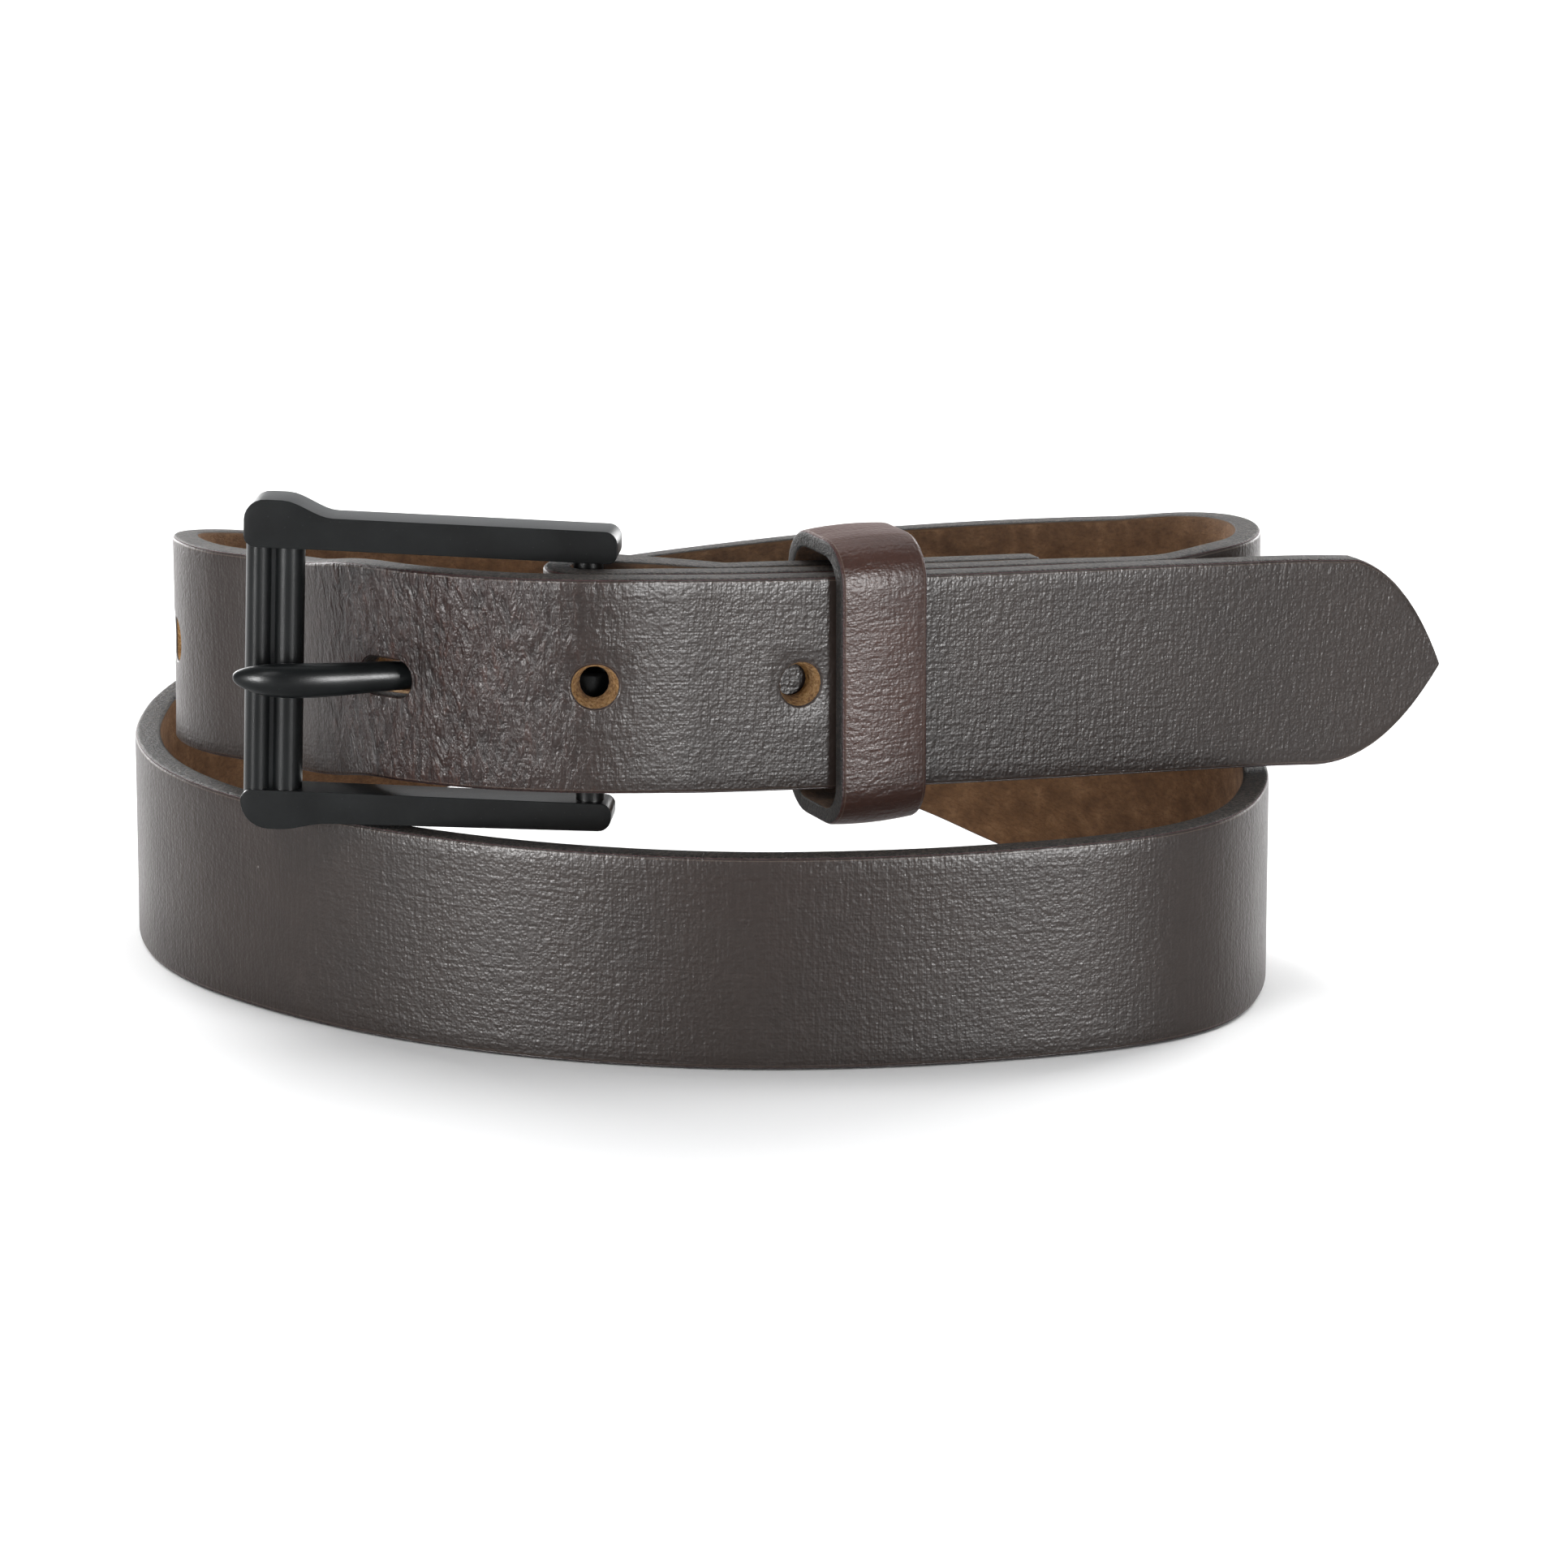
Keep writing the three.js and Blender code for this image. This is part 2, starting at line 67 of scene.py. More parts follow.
def lamp(name, place, target, size, power, lights_all=True):
    data = bpy.data.lights.new(name, "AREA")
    data.shape = "RECTANGLE"
    data.size, data.size_y = size
    data.energy = power
    body = bpy.data.objects.new(name, data)
    bpy.context.collection.objects.link(body)
    body.location = place
    aim = Vector(target) - Vector(place)
    body.rotation_euler = aim.to_track_quat("-Z", "Y").to_euler()
    body.visible_camera = False
    body.visible_diffuse = lights_all
    return body


def studio():
    """Soft boxes round the belt. The two strips in front show only as sheen."""
    camera()
    bpy.context.scene.view_settings.view_transform = "Standard"
    middle = (0, 0, 0.035)
    lamp("key", (-0.5, -0.85, 1.0), middle, (0.4, 0.4), 5.5)
    lamp("left_strip", (-0.9, -0.94, 0.15), middle, (0.26, 0.5), 64, lights_all=False)
    lamp("right_strip", (0.78, -1.04, 0.15), middle, (0.24, 0.5), 62, lights_all=False)
    lamp("left_wall", (-0.68, 1.0, 0.3), middle, (0.7, 0.8), 20)
    lamp("right_wall", (0.72, 0.95, 0.3), middle, (0.7, 0.8), 19)
    lamp("top", (0.1, 0.3, 1.15), middle, (0.9, 0.7), 7)
    sky()


def sky():
    """A white room that is darker on the camera's side."""
    world = bpy.data.worlds.new("studio")
    bpy.context.scene.world = world
    world.use_nodes = True
    tree = world.node_tree
    place = tree.nodes.new("ShaderNodeTexCoord")
    split = tree.nodes.new("ShaderNodeSeparateXYZ")
    ramp = tree.nodes.new("ShaderNodeMapRange")
    for key, value in (("From Min", -0.1), ("From Max", 0.7), ("To Min", 0.24), ("To Max", 1.0)):
        ramp.inputs[key].default_value = value
    tree.links.new(place.outputs["Generated"], split.inputs[0])
    tree.links.new(split.outputs["Y"], ramp.inputs["Value"])
    background = tree.nodes["Background"]
    background.inputs["Color"].default_value = (0.97, 0.985, 1, 1)
    tree.links.new(ramp.outputs[0], background.inputs["Strength"])


# ---- materials ----------------------------------------------------------------------------------

class Link:
    """A value that varies over a surface. Arithmetic on it adds Math nodes."""

    def __init__(self, paint, socket):
        self.paint = paint
        self.socket = socket

    def math(self, operation, *values, clamp=False):
        settings = {"operation": operation, "use_clamp": clamp}
        return self.paint.node("ShaderNodeMath", settings, dict(enumerate(values)))

    def __add__(self, other):
        return self.math("ADD", self, other)

    def __radd__(self, other):
        return self.math("ADD", other, self)

    def __sub__(self, other):
        return self.math("SUBTRACT", self, other)

    def __rsub__(self, other):
        return self.math("SUBTRACT", other, self)

    def __mul__(self, other):
        return self.math("MULTIPLY", self, other)

    def at_most(self, other):
        return self.math("MINIMUM", self, other)

    def step(self, low, high):
        """0 below low, 1 above high, smooth between."""
        return self.paint.node(
            "ShaderNodeMapRange", {"interpolation_type": "SMOOTHSTEP", "clamp": True},
            {"Value": self, "From Min": low, "From Max": high, "To Min": 0.0, "To Max": 1.0})


class Paint:
    """One material and its Principled shader."""

    def __init__(self, name, **constants):
        self.material = bpy.data.materials.new(name)
        self.material.use_nodes = True
        self.tree = self.material.node_tree
        self.shader = self.tree.nodes["Principled BSDF"]
        for key, value in constants.items():
            self.shader.inputs[key.replace("_", " ")].default_value = value

    def node(self, kind, settings=None, values=None, out=0):
        made = self.tree.nodes.new(kind)
        for key, value in (settings or {}).items():
            if key == "stops":
                self.fill_ramp(made.color_ramp, value)
            else:
                setattr(made, key, value)
        for key, value in (values or {}).items():
            self.feed(made.inputs[key], value)
        return Link(self, made.outputs[out])

    def feed(self, socket, value):
        if isinstance(value, Link):
            self.tree.links.new(value.socket, socket)
        else:
            socket.default_value = value

    def fill_ramp(self, ramp, stops):
        while len(ramp.elements) < len(stops):
            ramp.elements.new(0.5)
        for element, (position, colour) in zip(ramp.elements, stops):
            element.position = position
            element.color = (*colour, 1)

    def place(self):
        return self.node("ShaderNodeTexCoord", out="Object")

    def layout(self):
        """The piece's own map, in metres along and across the leather."""
        return self.node("ShaderNodeUVMap", {"uv_map": "leather"})

    def attribute(self, name):
        return self.node("ShaderNodeAttribute", {"attribute_name": name}, out="Fac")

    def stretched(self, vector, scale):
        return self.node("ShaderNodeMapping", {}, {"Vector": vector, "Scale": scale})

    def noise(self, vector, scale, detail=3.0, roughness=0.5, distortion=0.0):
        return self.node("ShaderNodeTexNoise", {}, {
            "Vector": vector, "Scale": scale, "Detail": detail,
            "Roughness": roughness, "Distortion": distortion}, out="Fac")

    def cells(self, vector, scale, feature="F1", randomness=1.0, out="Distance"):
        return self.node("ShaderNodeTexVoronoi", {"feature": feature}, {
            "Vector": vector, "Scale": scale, "Randomness": randomness}, out=out)

    def ramp(self, factor, stops):
        return self.node("ShaderNodeValToRGB", {"stops": stops}, {"Fac": factor}, out="Color")

    def mix(self, factor, first, second):
        def solid(value):
            return value if isinstance(value, Link) else (*value, 1)
        return self.node(
            "ShaderNodeMix", {"data_type": "RGBA"},
            {0: factor, 6: solid(first), 7: solid(second)}, out=2)

    def bump(self, height, distance, strength=1.0):
        normal = self.node("ShaderNodeBump", {}, {
            "Height": height, "Distance": distance, "Strength": strength})
        self.feed(self.shader.inputs["Normal"], normal)

    def finish(self, colour, roughness=None):
        self.feed(self.shader.inputs["Base Color"], colour)
        if roughness is not None:
            self.feed(self.shader.inputs["Roughness"], roughness)
        return self.material


def srgb(red, green, blue):
    """Linear values of a colour given as 0 to 255."""
    def linear(value):
        value /= 255
        return value / 12.92 if value <= 0.04045 else ((value + 0.055) / 1.055) ** 2.4
    return (linear(red), linear(green), linear(blue))


def dressed_leather(name, face, face_warm, rim_dark, rim_light, crease_start, crease_end,
                    crease_gain, crease_tone_and_shade, shine):
    """Waxed grain, burnished edge, tan flesh side and raw hole walls.
    The attribute "side" is 0 on the grain, 1 on the edge, 2 on the flesh and 3 in a hole."""
    paint = Paint(name, IOR=1.46, Specular_IOR_Level=0.2)
    side = paint.attribute("side")
    layout = paint.layout()
    place = paint.place()
    along = paint.node("ShaderNodeSeparateXYZ", {}, {0: layout}, out="X")

    # Masks for the parts of the leather.
    edge = side.step(0.35, 0.5) * (1 - side.step(1.45, 1.62))
    face_line = side.step(0.16, 0.3) * (1 - side.step(0.46, 0.62))
    edge_highlight_line = side.step(0.02, 0.12) * (1 - side.step(0.14, 0.24))
    inner_line = side.step(1.3, 1.42) * (1 - side.step(1.6, 1.74))
    flesh = side.step(1.45, 1.62) * (1 - side.step(2.3, 2.6))
    raw = side.step(2.3, 2.6)
    clean = 1 - (edge + flesh + raw).at_most(1.0)

    # Where the leather bends and has been worn, its grain opens into fine creases across it.
    worn = along.step(crease_start, crease_start + 0.018) * (
        1 - along.step(crease_end - 0.035, crease_end))
    crease_map = paint.stretched(layout, (1.0, 0.34, 1.0))
    crease = paint.noise(crease_map, 980, 4.0, 0.6, 1.0)
    wide_crease = paint.noise(crease_map, 430, 3.0, 0.55, 1.4)
    pebble = paint.cells(layout, 1250, "SMOOTH_F1")
    pore = paint.cells(layout, 2400, "F1")
    weave_along = paint.noise(paint.stretched(layout, (0.07, 1.0, 1.0)), 2100, 2.0, 0.5)
    weave_across = paint.noise(paint.stretched(layout, (1.0, 0.08, 1.0)), 2100, 2.0, 0.5)
    cloud = paint.noise(layout, 60, 3.0, 0.55)
    cloud_wide = paint.noise(layout, 17, 2.0, 0.5)
    pits = paint.cells(layout, 120, "F1")
    pit = (1 - pits.step(0.02, 0.045)) * paint.noise(layout, 75, 1.0).step(0.56, 0.62)
    scuff = paint.noise(paint.stretched(layout, (0.2, 1.0, 1.0)), 420, 4.0, 0.65, 0.5)

    grain_height = (
        pebble * 0.13 + pore * 0.1 + weave_along * 0.12 + weave_across * 0.17
        + worn * crease_gain * (crease * 1.1 + wide_crease * 1.5) - pit * 0.5)
    edge_height = paint.noise(place, 2300, 4.0, 0.65) * 0.8 + paint.noise(place, 700, 2.0) * 0.5
    fibre = paint.noise(paint.stretched(layout, (0.5, 1.0, 1.0)), 2600, 5.0, 0.7, 0.6)
    flesh_height = fibre * 0.9 + paint.noise(layout, 500, 3.0) * 0.5
    raw_height = paint.noise(place, 3200, 4.0, 0.7) * 1.3
    paint.bump(
        grain_height * clean + edge_height * edge + flesh_height * flesh + raw_height * raw,
        0.0004, 0.9)

    # The grain: a deep brown, redder where it is worn, paler along the fine creases, and painted shade
    # makes the hollows between the wide creases near-black.
    warm = (worn * 0.8 + cloud_wide.step(0.5, 0.75) * 0.2).at_most(1.0)
    grain = paint.mix(warm, face, face_warm)
    grain = paint.mix(cloud.step(0.35, 0.75) * 0.3, grain, srgb(30, 24, 23))
    # Painted shade: the hollows between the wide creases, where the bump is lowest, are darkened to
    # near-black.
    grain = paint.mix(worn * (1 - wide_crease.step(0.36, 0.56)) * crease_tone_and_shade, grain, srgb(16, 9, 8))
    grain = paint.mix(worn * crease.step(0.52, 0.7) * crease_tone_and_shade * 0.5, grain, srgb(100, 64, 52))
    grain = paint.mix(weave_across.step(0.45, 0.75) * (1 - worn) * 0.1, grain, srgb(88, 76, 72))
    grain = paint.mix(scuff.step(0.6, 0.78) * 0.07, grain, srgb(110, 96, 90))
    grain = paint.mix(pit * 0.5, grain, srgb(168, 158, 150))
    # Painted highlight: a pale line on the grain where it starts to round over the edge.
    grain = paint.mix(edge_highlight_line * 0.4, grain, srgb(120, 104, 94))
    mottle = paint.noise(place, 2300, 4.0, 0.7).step(0.42, 0.62)
    rim = paint.mix(mottle, rim_dark, rim_light)
    rim = paint.mix(face_line * 0.9, rim, srgb(70, 26, 30))
    rim = paint.mix(inner_line * 0.8, rim, srgb(22, 18, 16))
    tan = paint.ramp(paint.noise(layout, 260, 5.0, 0.7), [
        (0.3, srgb(96, 70, 49)), (0.52, srgb(122, 91, 64)), (0.72, srgb(146, 112, 81))])
    tan = paint.mix(fibre.step(0.45, 0.7) * 0.45, tan, srgb(74, 54, 40))
    wall = paint.ramp(paint.noise(place, 1900, 4.0, 0.7), [
        (0.3, srgb(92, 60, 32)), (0.5, srgb(172, 128, 76)), (0.72, srgb(216, 178, 122))])
    colour = paint.mix(edge, grain, rim)
    colour = paint.mix(flesh, colour, tan)
    colour = paint.mix(raw, colour, wall)

    grain_rough = shine + cloud * 0.1 + pore * 0.06 + scuff.step(0.55, 0.8) * 0.06
    rough = grain_rough * clean + edge * 0.56 + (flesh + raw) * 0.9
    return paint.finish(colour, rough)


def black_enamel():
    """Satin black over metal, with a fine orange-peel skin."""
    paint = Paint("black_enamel", IOR=1.45, Specular_IOR_Level=0.15)
    place = paint.place()
    skin = paint.noise(place, 5200, 3.0, 0.6)
    drift = paint.noise(place, 150, 3.0, 0.5)
    paint.bump(skin, 0.00003, 0.5)
    colour = paint.ramp(drift, [(0.3, srgb(15, 17, 18)), (0.7, srgb(22, 25, 26))])
    speck = paint.cells(place, 900, "F1")
    colour = paint.mix((1 - speck.step(0.05, 0.09)) * 0.3, colour, srgb(54, 58, 60))
    return paint.finish(colour, 0.24 + drift * 0.08 + skin * 0.05)


def nickel():
    paint = Paint("dark_nickel", Metallic=1.0)
    place = paint.place()
    turned = paint.noise(paint.stretched(place, (1.0, 1.0, 0.2)), 4200, 3.0, 0.6)
    drift = paint.noise(place, 300, 2.0)
    paint.bump(turned, 0.00002, 0.5)
    colour = paint.ramp(drift, [(0.3, srgb(98, 96, 92)), (0.7, srgb(140, 136, 130))])
    return paint.finish(colour, 0.28 + turned * 0.14)


# ---- the strap's route --------------------------------------------------------------------------

STRAP_WIDTH = 28.6
STRAP_THICK = 3.6
GAP = 0.35
LAYER = STRAP_THICK + GAP
HEEL = np.array([-25.5, 21.6])
BUCKLE_Z = 49.2
FOLD_Z = 49.8
TONGUE_Z = 48.6
HEEL_BAR_RADIUS = 1.95
BUCKLE_TURN = math.radians(-5)
BUCKLE_TILT = math.radians(1.7)

FREE_END = np.array([
    (-65.6, 44.6, 45.8), (-60.6, 36.4, 47.0), (-55.2, 28.8, 48.7), (-49.2, 22.8, 49.3),
    (-42.6, 18.2, 49.7), (-35.2, 15.2, 49.9), (-25.3, 13.5, 50.0), (-15.6, 15.6, 49.5),
    (-8.0, 18.9, 48.8), (1.3, 23.0, 48.1), (19.3, 31.1, 46.8), (36.2, 39.1, 45.7),
    (53.2, 47.5, 44.6), (70.1, 56.6, 43.2), (88.8, 66.7, 40.7)])

LOOPS = np.array([
    (57.6, 55.1, 45.1), (61.5, 59.9, 45.1), (63.2, 66.0, 45.0), (62.8, 72.4, 44.8),
    (60.4, 78.8, 44.2), (56.0, 85.0, 43.1), (49.0, 91.0, 41.4), (40.0, 96.4, 40.0),
    (27.0, 102.2, 38.2), (10.0, 107.8, 35.8), (-8.0, 112.6, 32.8), (-24.0, 115.2, 30.1),
    (-41.0, 115.6, 27.2), (-57.5, 113.2, 24.0), (-71.0, 108.4, 20.8), (-81.0, 100.6, 17.8),
    (-86.6, 91.6, 15.6), (-88.3, 82.0, 14.6), (-87.6, 71.5, 14.38), (-84.4, 59.6, 14.3),
    (-78.6, 48.6, 14.3), (-70.4, 38.6, 14.3), (-60.6, 29.4, 14.3), (-49.2, 21.4, 14.3),
    (-35.4, 14.6, 14.3), (-20.0, 10.0, 14.3), (-4.0, 8.0, 14.3), (14.0, 9.2, 14.3),
    (31.0, 13.0, 14.3), (43.0, 17.4, 14.3), (51.4, 22.4, 14.3), (57.0, 28.2, 14.3),
    (60.6, 35.2, 14.3), (62.8, 43.4, 14.3), (63.8, 50.4, 14.3), (64.0, 56.6, 14.33),
    (63.5, 63.0, 14.35), (62.0, 69.4, 14.5), (59.2, 75.0, 14.9), (54.8, 80.0, 15.7),
    (49.0, 84.2, 17.1), (42.0, 88.4, 19.3), (33.0, 92.8, 22.4), (20.4, 97.8, 26.8),
    (0.0, 102.2, 31.0), (-22.0, 102.8, 33.2), (-44.0, 99.6, 35.0), (-60.0, 94.4, 37.2),
    (-71.4, 87.8, 39.6), (-78.4, 80.6, 41.6), (-81.9, 73.0, 43.0), (-80.6, 65.0, 43.8),
    (-76.8, 57.6, 44.4), (-71.4, 51.4, 45.0)])

SAMPLES = 24      # points that stand for one span of the route


def smooth_path(points):
    """A centripetal Catmull-Rom curve through the points, as SAMPLES points a span."""
    points = np.asarray(points, float)
    first = 2 * points[0] - points[1]
    last = 2 * points[-1] - points[-2]
    held = np.vstack([first, points, last])
    out = []
    s = np.arange(SAMPLES)[:, None] / SAMPLES
    for i in range(len(points) - 1):
        p0, p1, p2, p3 = held[i:i + 4]
        d0, d1, d2 = (math.sqrt(np.linalg.norm(b - a)) for a, b in ((p0, p1), (p1, p2), (p2, p3)))
        t1 = ((p1 - p0) / d0 - (p2 - p0) / (d0 + d1) + (p2 - p1) / d1) * d1
        t2 = ((p2 - p1) / d1 - (p3 - p1) / (d1 + d2) + (p3 - p2) / d2) * d1
        out.append(p1 + t1 * s + (3 * (p2 - p1) - 2 * t1 - t2) * s ** 2
                   + (2 * (p1 - p2) + t1 + t2) * s ** 3)
    out.append(points[-1:])
    return np.vstack(out)


def unit(vectors):
    return vectors / np.linalg.norm(vectors, axis=-1, keepdims=True)


def inward(along):
    flat = np.stack([-along[..., 1], along[..., 0], np.zeros(along.shape[:-1])], axis=-1)
    return unit(flat)


free_path = smooth_path(FREE_END)
free_slope = np.gradient(free_path, axis=0)


def behind_free_end(index, layers):
    at = index * SAMPLES
    return FREE_END[index] + inward(free_slope[at]) * layers * LAYER


def fixed_end():
    radius = HEEL_BAR_RADIUS + GAP + STRAP_THICK / 2
    flap = [behind_free_end(index, 2) for index in (11, 10, 9, 8)]
    flap.append((-18.8, 24.5, FOLD_Z))
    fold = []
    for step in range(9):
        angle = math.radians(90 + 22.5 * step)
        fold.append((HEEL[0] + radius * math.cos(angle), HEEL[1] + radius * math.sin(angle), FOLD_Z))
    main = [behind_free_end(index, 1) for index in (7, 8, 9, 10, 11, 12)]
    return np.array(flap + fold + main)


FIXED_END = fixed_end()
path = smooth_path(np.vstack([FIXED_END, LOOPS, FREE_END]))
path_length = np.concatenate([[0], np.cumsum(np.linalg.norm(np.diff(path, axis=0), axis=1))])
STRAP_LENGTH = path_length[-1]
FOLD_START = path_length[5 * SAMPLES]
FOLD_END = path_length[13 * SAMPLES]
FREE_START = path_length[(len(FIXED_END) + len(LOOPS)) * SAMPLES]


def frame_at(u):
    """Middle, inward and up directions of the strap at distances u from the flap's end."""
    u = np.asarray(u, float)

    def point(at):
        return np.stack([np.interp(at, path_length, path[:, k]) for k in range(3)], axis=-1)

    reach = 0.35
    along = unit(point(np.minimum(u + reach, STRAP_LENGTH)) - point(np.maximum(u - reach, 0)))
    across = inward(along)
    up = unit(np.cross(along, across))
    return point(u), across, up


def on_strap(u, v, w):
    """World places of points at u along, v up the width and w inward through the leather."""
    middle, across, up = frame_at(u)
    v = np.asarray(v, float)[..., None]
    w = np.asarray(w, float)[..., None]
    return to_world(middle + up * v + across * w)


def nearest_u(place, low, high):
    """Where on the strap between two distances a place is nearest, and its height above the middle."""
    u = np.linspace(low, high, 2000)
    middle, across, up = frame_at(u)
    away = np.asarray(place) - middle
    best = int(np.argmin(np.linalg.norm(away, axis=1)))
    return u[best], float(away[best] @ up[best])


# ---- the strap ----------------------------------------------------------------------------------

HOLE_RADIUS = 2.9
HOLE_PITCH = 28
TIP_TO_FIRST_HOLE = 97.9
TIP_TOP = 15
TIP_BOTTOM = 19
EDGE_ROUND = 0.62
FACE_STEPS = 14
CORNER_STEPS = 4

GRAIN, EDGE, FLESH, RAW = 0.0, 1.0, 2.0, 3.0


def section_points():
    """One ring round the strap as (v share, w, side): grain face up, over the edge, flesh down."""
    half = STRAP_WIDTH / 2
    thick = STRAP_THICK / 2
    r = EDGE_ROUND
    ring = []
    for v in np.linspace(-half + r, half - r, FACE_STEPS + 1):
        ring.append((v, -thick, GRAIN))
    for step in range(1, CORNER_STEPS + 1):
        a = math.pi / 2 * step / CORNER_STEPS
        ring.append((half - r + r * math.sin(a), -thick + r - r * math.cos(a), step / CORNER_STEPS))
    ring.append((half, 0.0, EDGE))
    for step in range(CORNER_STEPS):
        a = math.pi / 2 * step / CORNER_STEPS
        ring.append((half - r + r * math.cos(a), thick - r + r * math.sin(a), 1 + step / CORNER_STEPS))
    for v in np.linspace(half - r, -half + r, FACE_STEPS + 1):
        ring.append((v, thick, FLESH))
    for step in range(1, CORNER_STEPS + 1):
        a = math.pi / 2 * step / CORNER_STEPS
        ring.append((-half + r - r * math.sin(a), thick - r + r * math.cos(a), 2 - step / CORNER_STEPS))
    ring.append((-half, 0.0, EDGE))
    for step in range(CORNER_STEPS):
        a = math.pi / 2 * step / CORNER_STEPS
        ring.append((-half + r - r * math.cos(a), -thick + r - r * math.sin(a), 1 - step / CORNER_STEPS))
    return np.array(ring)


def tip_limits(back):
    """The strap's lower and upper edge at a distance back from the tip, as an English point."""
    half = STRAP_WIDTH / 2

    def bezier(points):
        points = np.array(points, float)
        t = np.linspace(0, 1, 60)[:, None]
        return ((1 - t) ** 3 * points[0] + 3 * (1 - t) ** 2 * t * points[1]
                + 3 * (1 - t) * t ** 2 * points[2] + t ** 3 * points[3])

    top = bezier([(TIP_TOP, half), (8.5, half - 1.6), (3.6, 6.6), (0.6, 1.2)])
    low = bezier([(0.6, -1.2), (4.4, -8), (9.6, -half), (TIP_BOTTOM, -half)])
    nose = math.sqrt(3.24 * back ** 2 + 0.457 * back)
    upper = nose if back < 0.6 else float(np.interp(back, top[::-1, 0], top[::-1, 1]))
    lower = -nose if back < 0.6 else float(np.interp(back, low[:, 0], low[:, 1]))
    return lower, upper


def stations():
    """Distances along the strap at which it has a ring, closer in the fold and at the tip."""
    def run(low, high, step):
        count = max(1, round((high - low) / step))
        return list(np.linspace(low, high, count, endpoint=False))
    tip = STRAP_LENGTH - TIP_BOTTOM
    u = [0.0, 0.08, 0.25]
    u += run(0.6, FOLD_START - 3, 1.1)
    u += run(FOLD_START - 3, FOLD_END + 3, 0.55)
    u += run(FOLD_END + 3, FREE_START - 20, 1.5)
    u += run(FREE_START - 20, tip, 0.8)
    u += run(tip, STRAP_LENGTH - 1.2, 0.5)
    u += [STRAP_LENGTH - d for d in (1.2, 0.8, 0.55, 0.38, 0.24, 0.13, 0.05, 0.01)]
    return np.array(u)


class StrapMesh:
    """The strap as rings of vertices, with patches let into its faces for the holes."""

    def __init__(self):
        self.u = stations()
        self.ring = section_points()
        self.flat = []          # (u, v, w) of each vertex
        self.side = []
        self.faces = []
        self.dropped = set()
        half = STRAP_WIDTH / 2
        for u in self.u:
            low, high = tip_limits(STRAP_LENGTH - u)
            middle, scale = (low + high) / 2, (high - low) / (2 * half)
            thin = 1.0
            if u < 0.3:
                thin = 1 - 0.12 * (1 - u / 0.3)
                scale *= 1 - 0.008 * (1 - u / 0.3)
            for v, w, side in self.ring:
                self.flat.append((u, middle + v * scale, w * thin))
                self.side.append(side)
        self.count = len(self.ring)

    def vertex(self, station, around):
        return station * self.count + around % self.count

    def add(self, u, v, w, side):
        self.flat.append((u, v, w))
        self.side.append(side)
        return len(self.flat) - 1

    def hole(self, u, v, front, back, profile, reach=5.0):
        """Lets a round-ended slot into both faces. front and back are the (low, high) ends of its
        straight middle along u on the grain and on the flesh, so equal ends make a round hole.
        profile is a list of (w, radius, side) from grain to flesh."""
        i0 = int(np.searchsorted(self.u, u + min(front[0], back[0]) - reach)) - 1
        i1 = int(np.searchsorted(self.u, u + max(front[1], back[1]) + reach))
        half_cells = 3
        j0, j1 = FACE_STEPS // 2 - half_cells, FACE_STEPS // 2 + half_cells
        flesh_first = FACE_STEPS + 1 + 2 * CORNER_STEPS + 1
        loops = []
        for start in (0, flesh_first):
            def at(i, j):
                return self.vertex(i, start + (j if start == 0 else FACE_STEPS - j))
            loop = [at(i, j0) for i in range(i0, i1)]
            loop += [at(i1, j) for j in range(j0, j1)]
            loop += [at(i, j1) for i in range(i1, i0, -1)]
            loop += [at(i0, j) for j in range(j1, j0, -1)]
            loops.append(loop)
            for i in range(i0, i1):
                for j in range(j0, j1):
                    self.dropped.add((i, start + (j if start == 0 else FACE_STEPS - 1 - j)))
        outer_front, outer_back = loops

        def ringed(loop, w, radius, side, share):
            made = []
            for index in loop:
                bu, bv, _ = self.flat[index]
                low = front[0] + (back[0] - front[0]) * share
                high = front[1] + (back[1] - front[1]) * share
                qu = min(max(bu - u, low), high)
                du, dv = bu - u - qu, bv - v
                size = math.hypot(du, dv)
                made.append(self.add(u + qu + du / size * radius, v + dv / size * radius, w, side))
            return made

        thick = STRAP_THICK / 2
        previous = outer_front
        for w, radius, side in profile:
            current = ringed(outer_front, w, radius, side, (w + thick) / STRAP_THICK)
            self.join(previous, current)
            previous = current
        self.join(previous, outer_back)

    def join(self, first, second):
        size = len(first)
        for k in range(size):
            n = (k + 1) % size
            self.faces.append((first[k], first[n], second[n], second[k]))

    def make(self, name):
        rings = len(self.u)
        for i in range(rings - 1):
            for j in range(self.count):
                if (i, j) not in self.dropped:
                    self.faces.append((self.vertex(i, j), self.vertex(i, j + 1),
                                       self.vertex(i + 1, j + 1), self.vertex(i + 1, j)))
        for i in (0, rings - 1):
            ends = [self.vertex(i, j) for j in range(self.count)]
            mean = np.mean([self.flat[k] for k in ends], axis=0)
            hub = self.add(*mean, EDGE)
            for j in range(self.count):
                self.faces.append((ends[j], ends[(j + 1) % self.count], hub))
        flat = np.array(self.flat)
        places = on_strap(flat[:, 0], flat[:, 1], flat[:, 2])
        data = bpy.data.meshes.new(name)
        data.from_pydata([tuple(p) for p in places], [], self.faces)
        layer = data.attributes.new("side", "FLOAT", "POINT")
        layer.data.foreach_set("value", np.array(self.side, np.float32))
        layout = data.uv_layers.new(name="leather")
        across = flat[:, 1] + np.where(np.array(self.side) > 1.5, 60.0, 0.0)
        for loop in data.loops:
            k = loop.vertex_index
            layout.data[loop.index].uv = (flat[k, 0] * MM, across[k] * MM)
        obj = bpy.data.objects.new(name, data)
        bpy.context.collection.objects.link(obj)
        clean_normals(obj)
        return obj


def clean_normals(obj):
    work = bmesh.new()
    work.from_mesh(obj.data)
    bmesh.ops.recalc_face_normals(work, faces=work.faces)
    work.to_mesh(obj.data)
    work.free()
    obj.data.update()


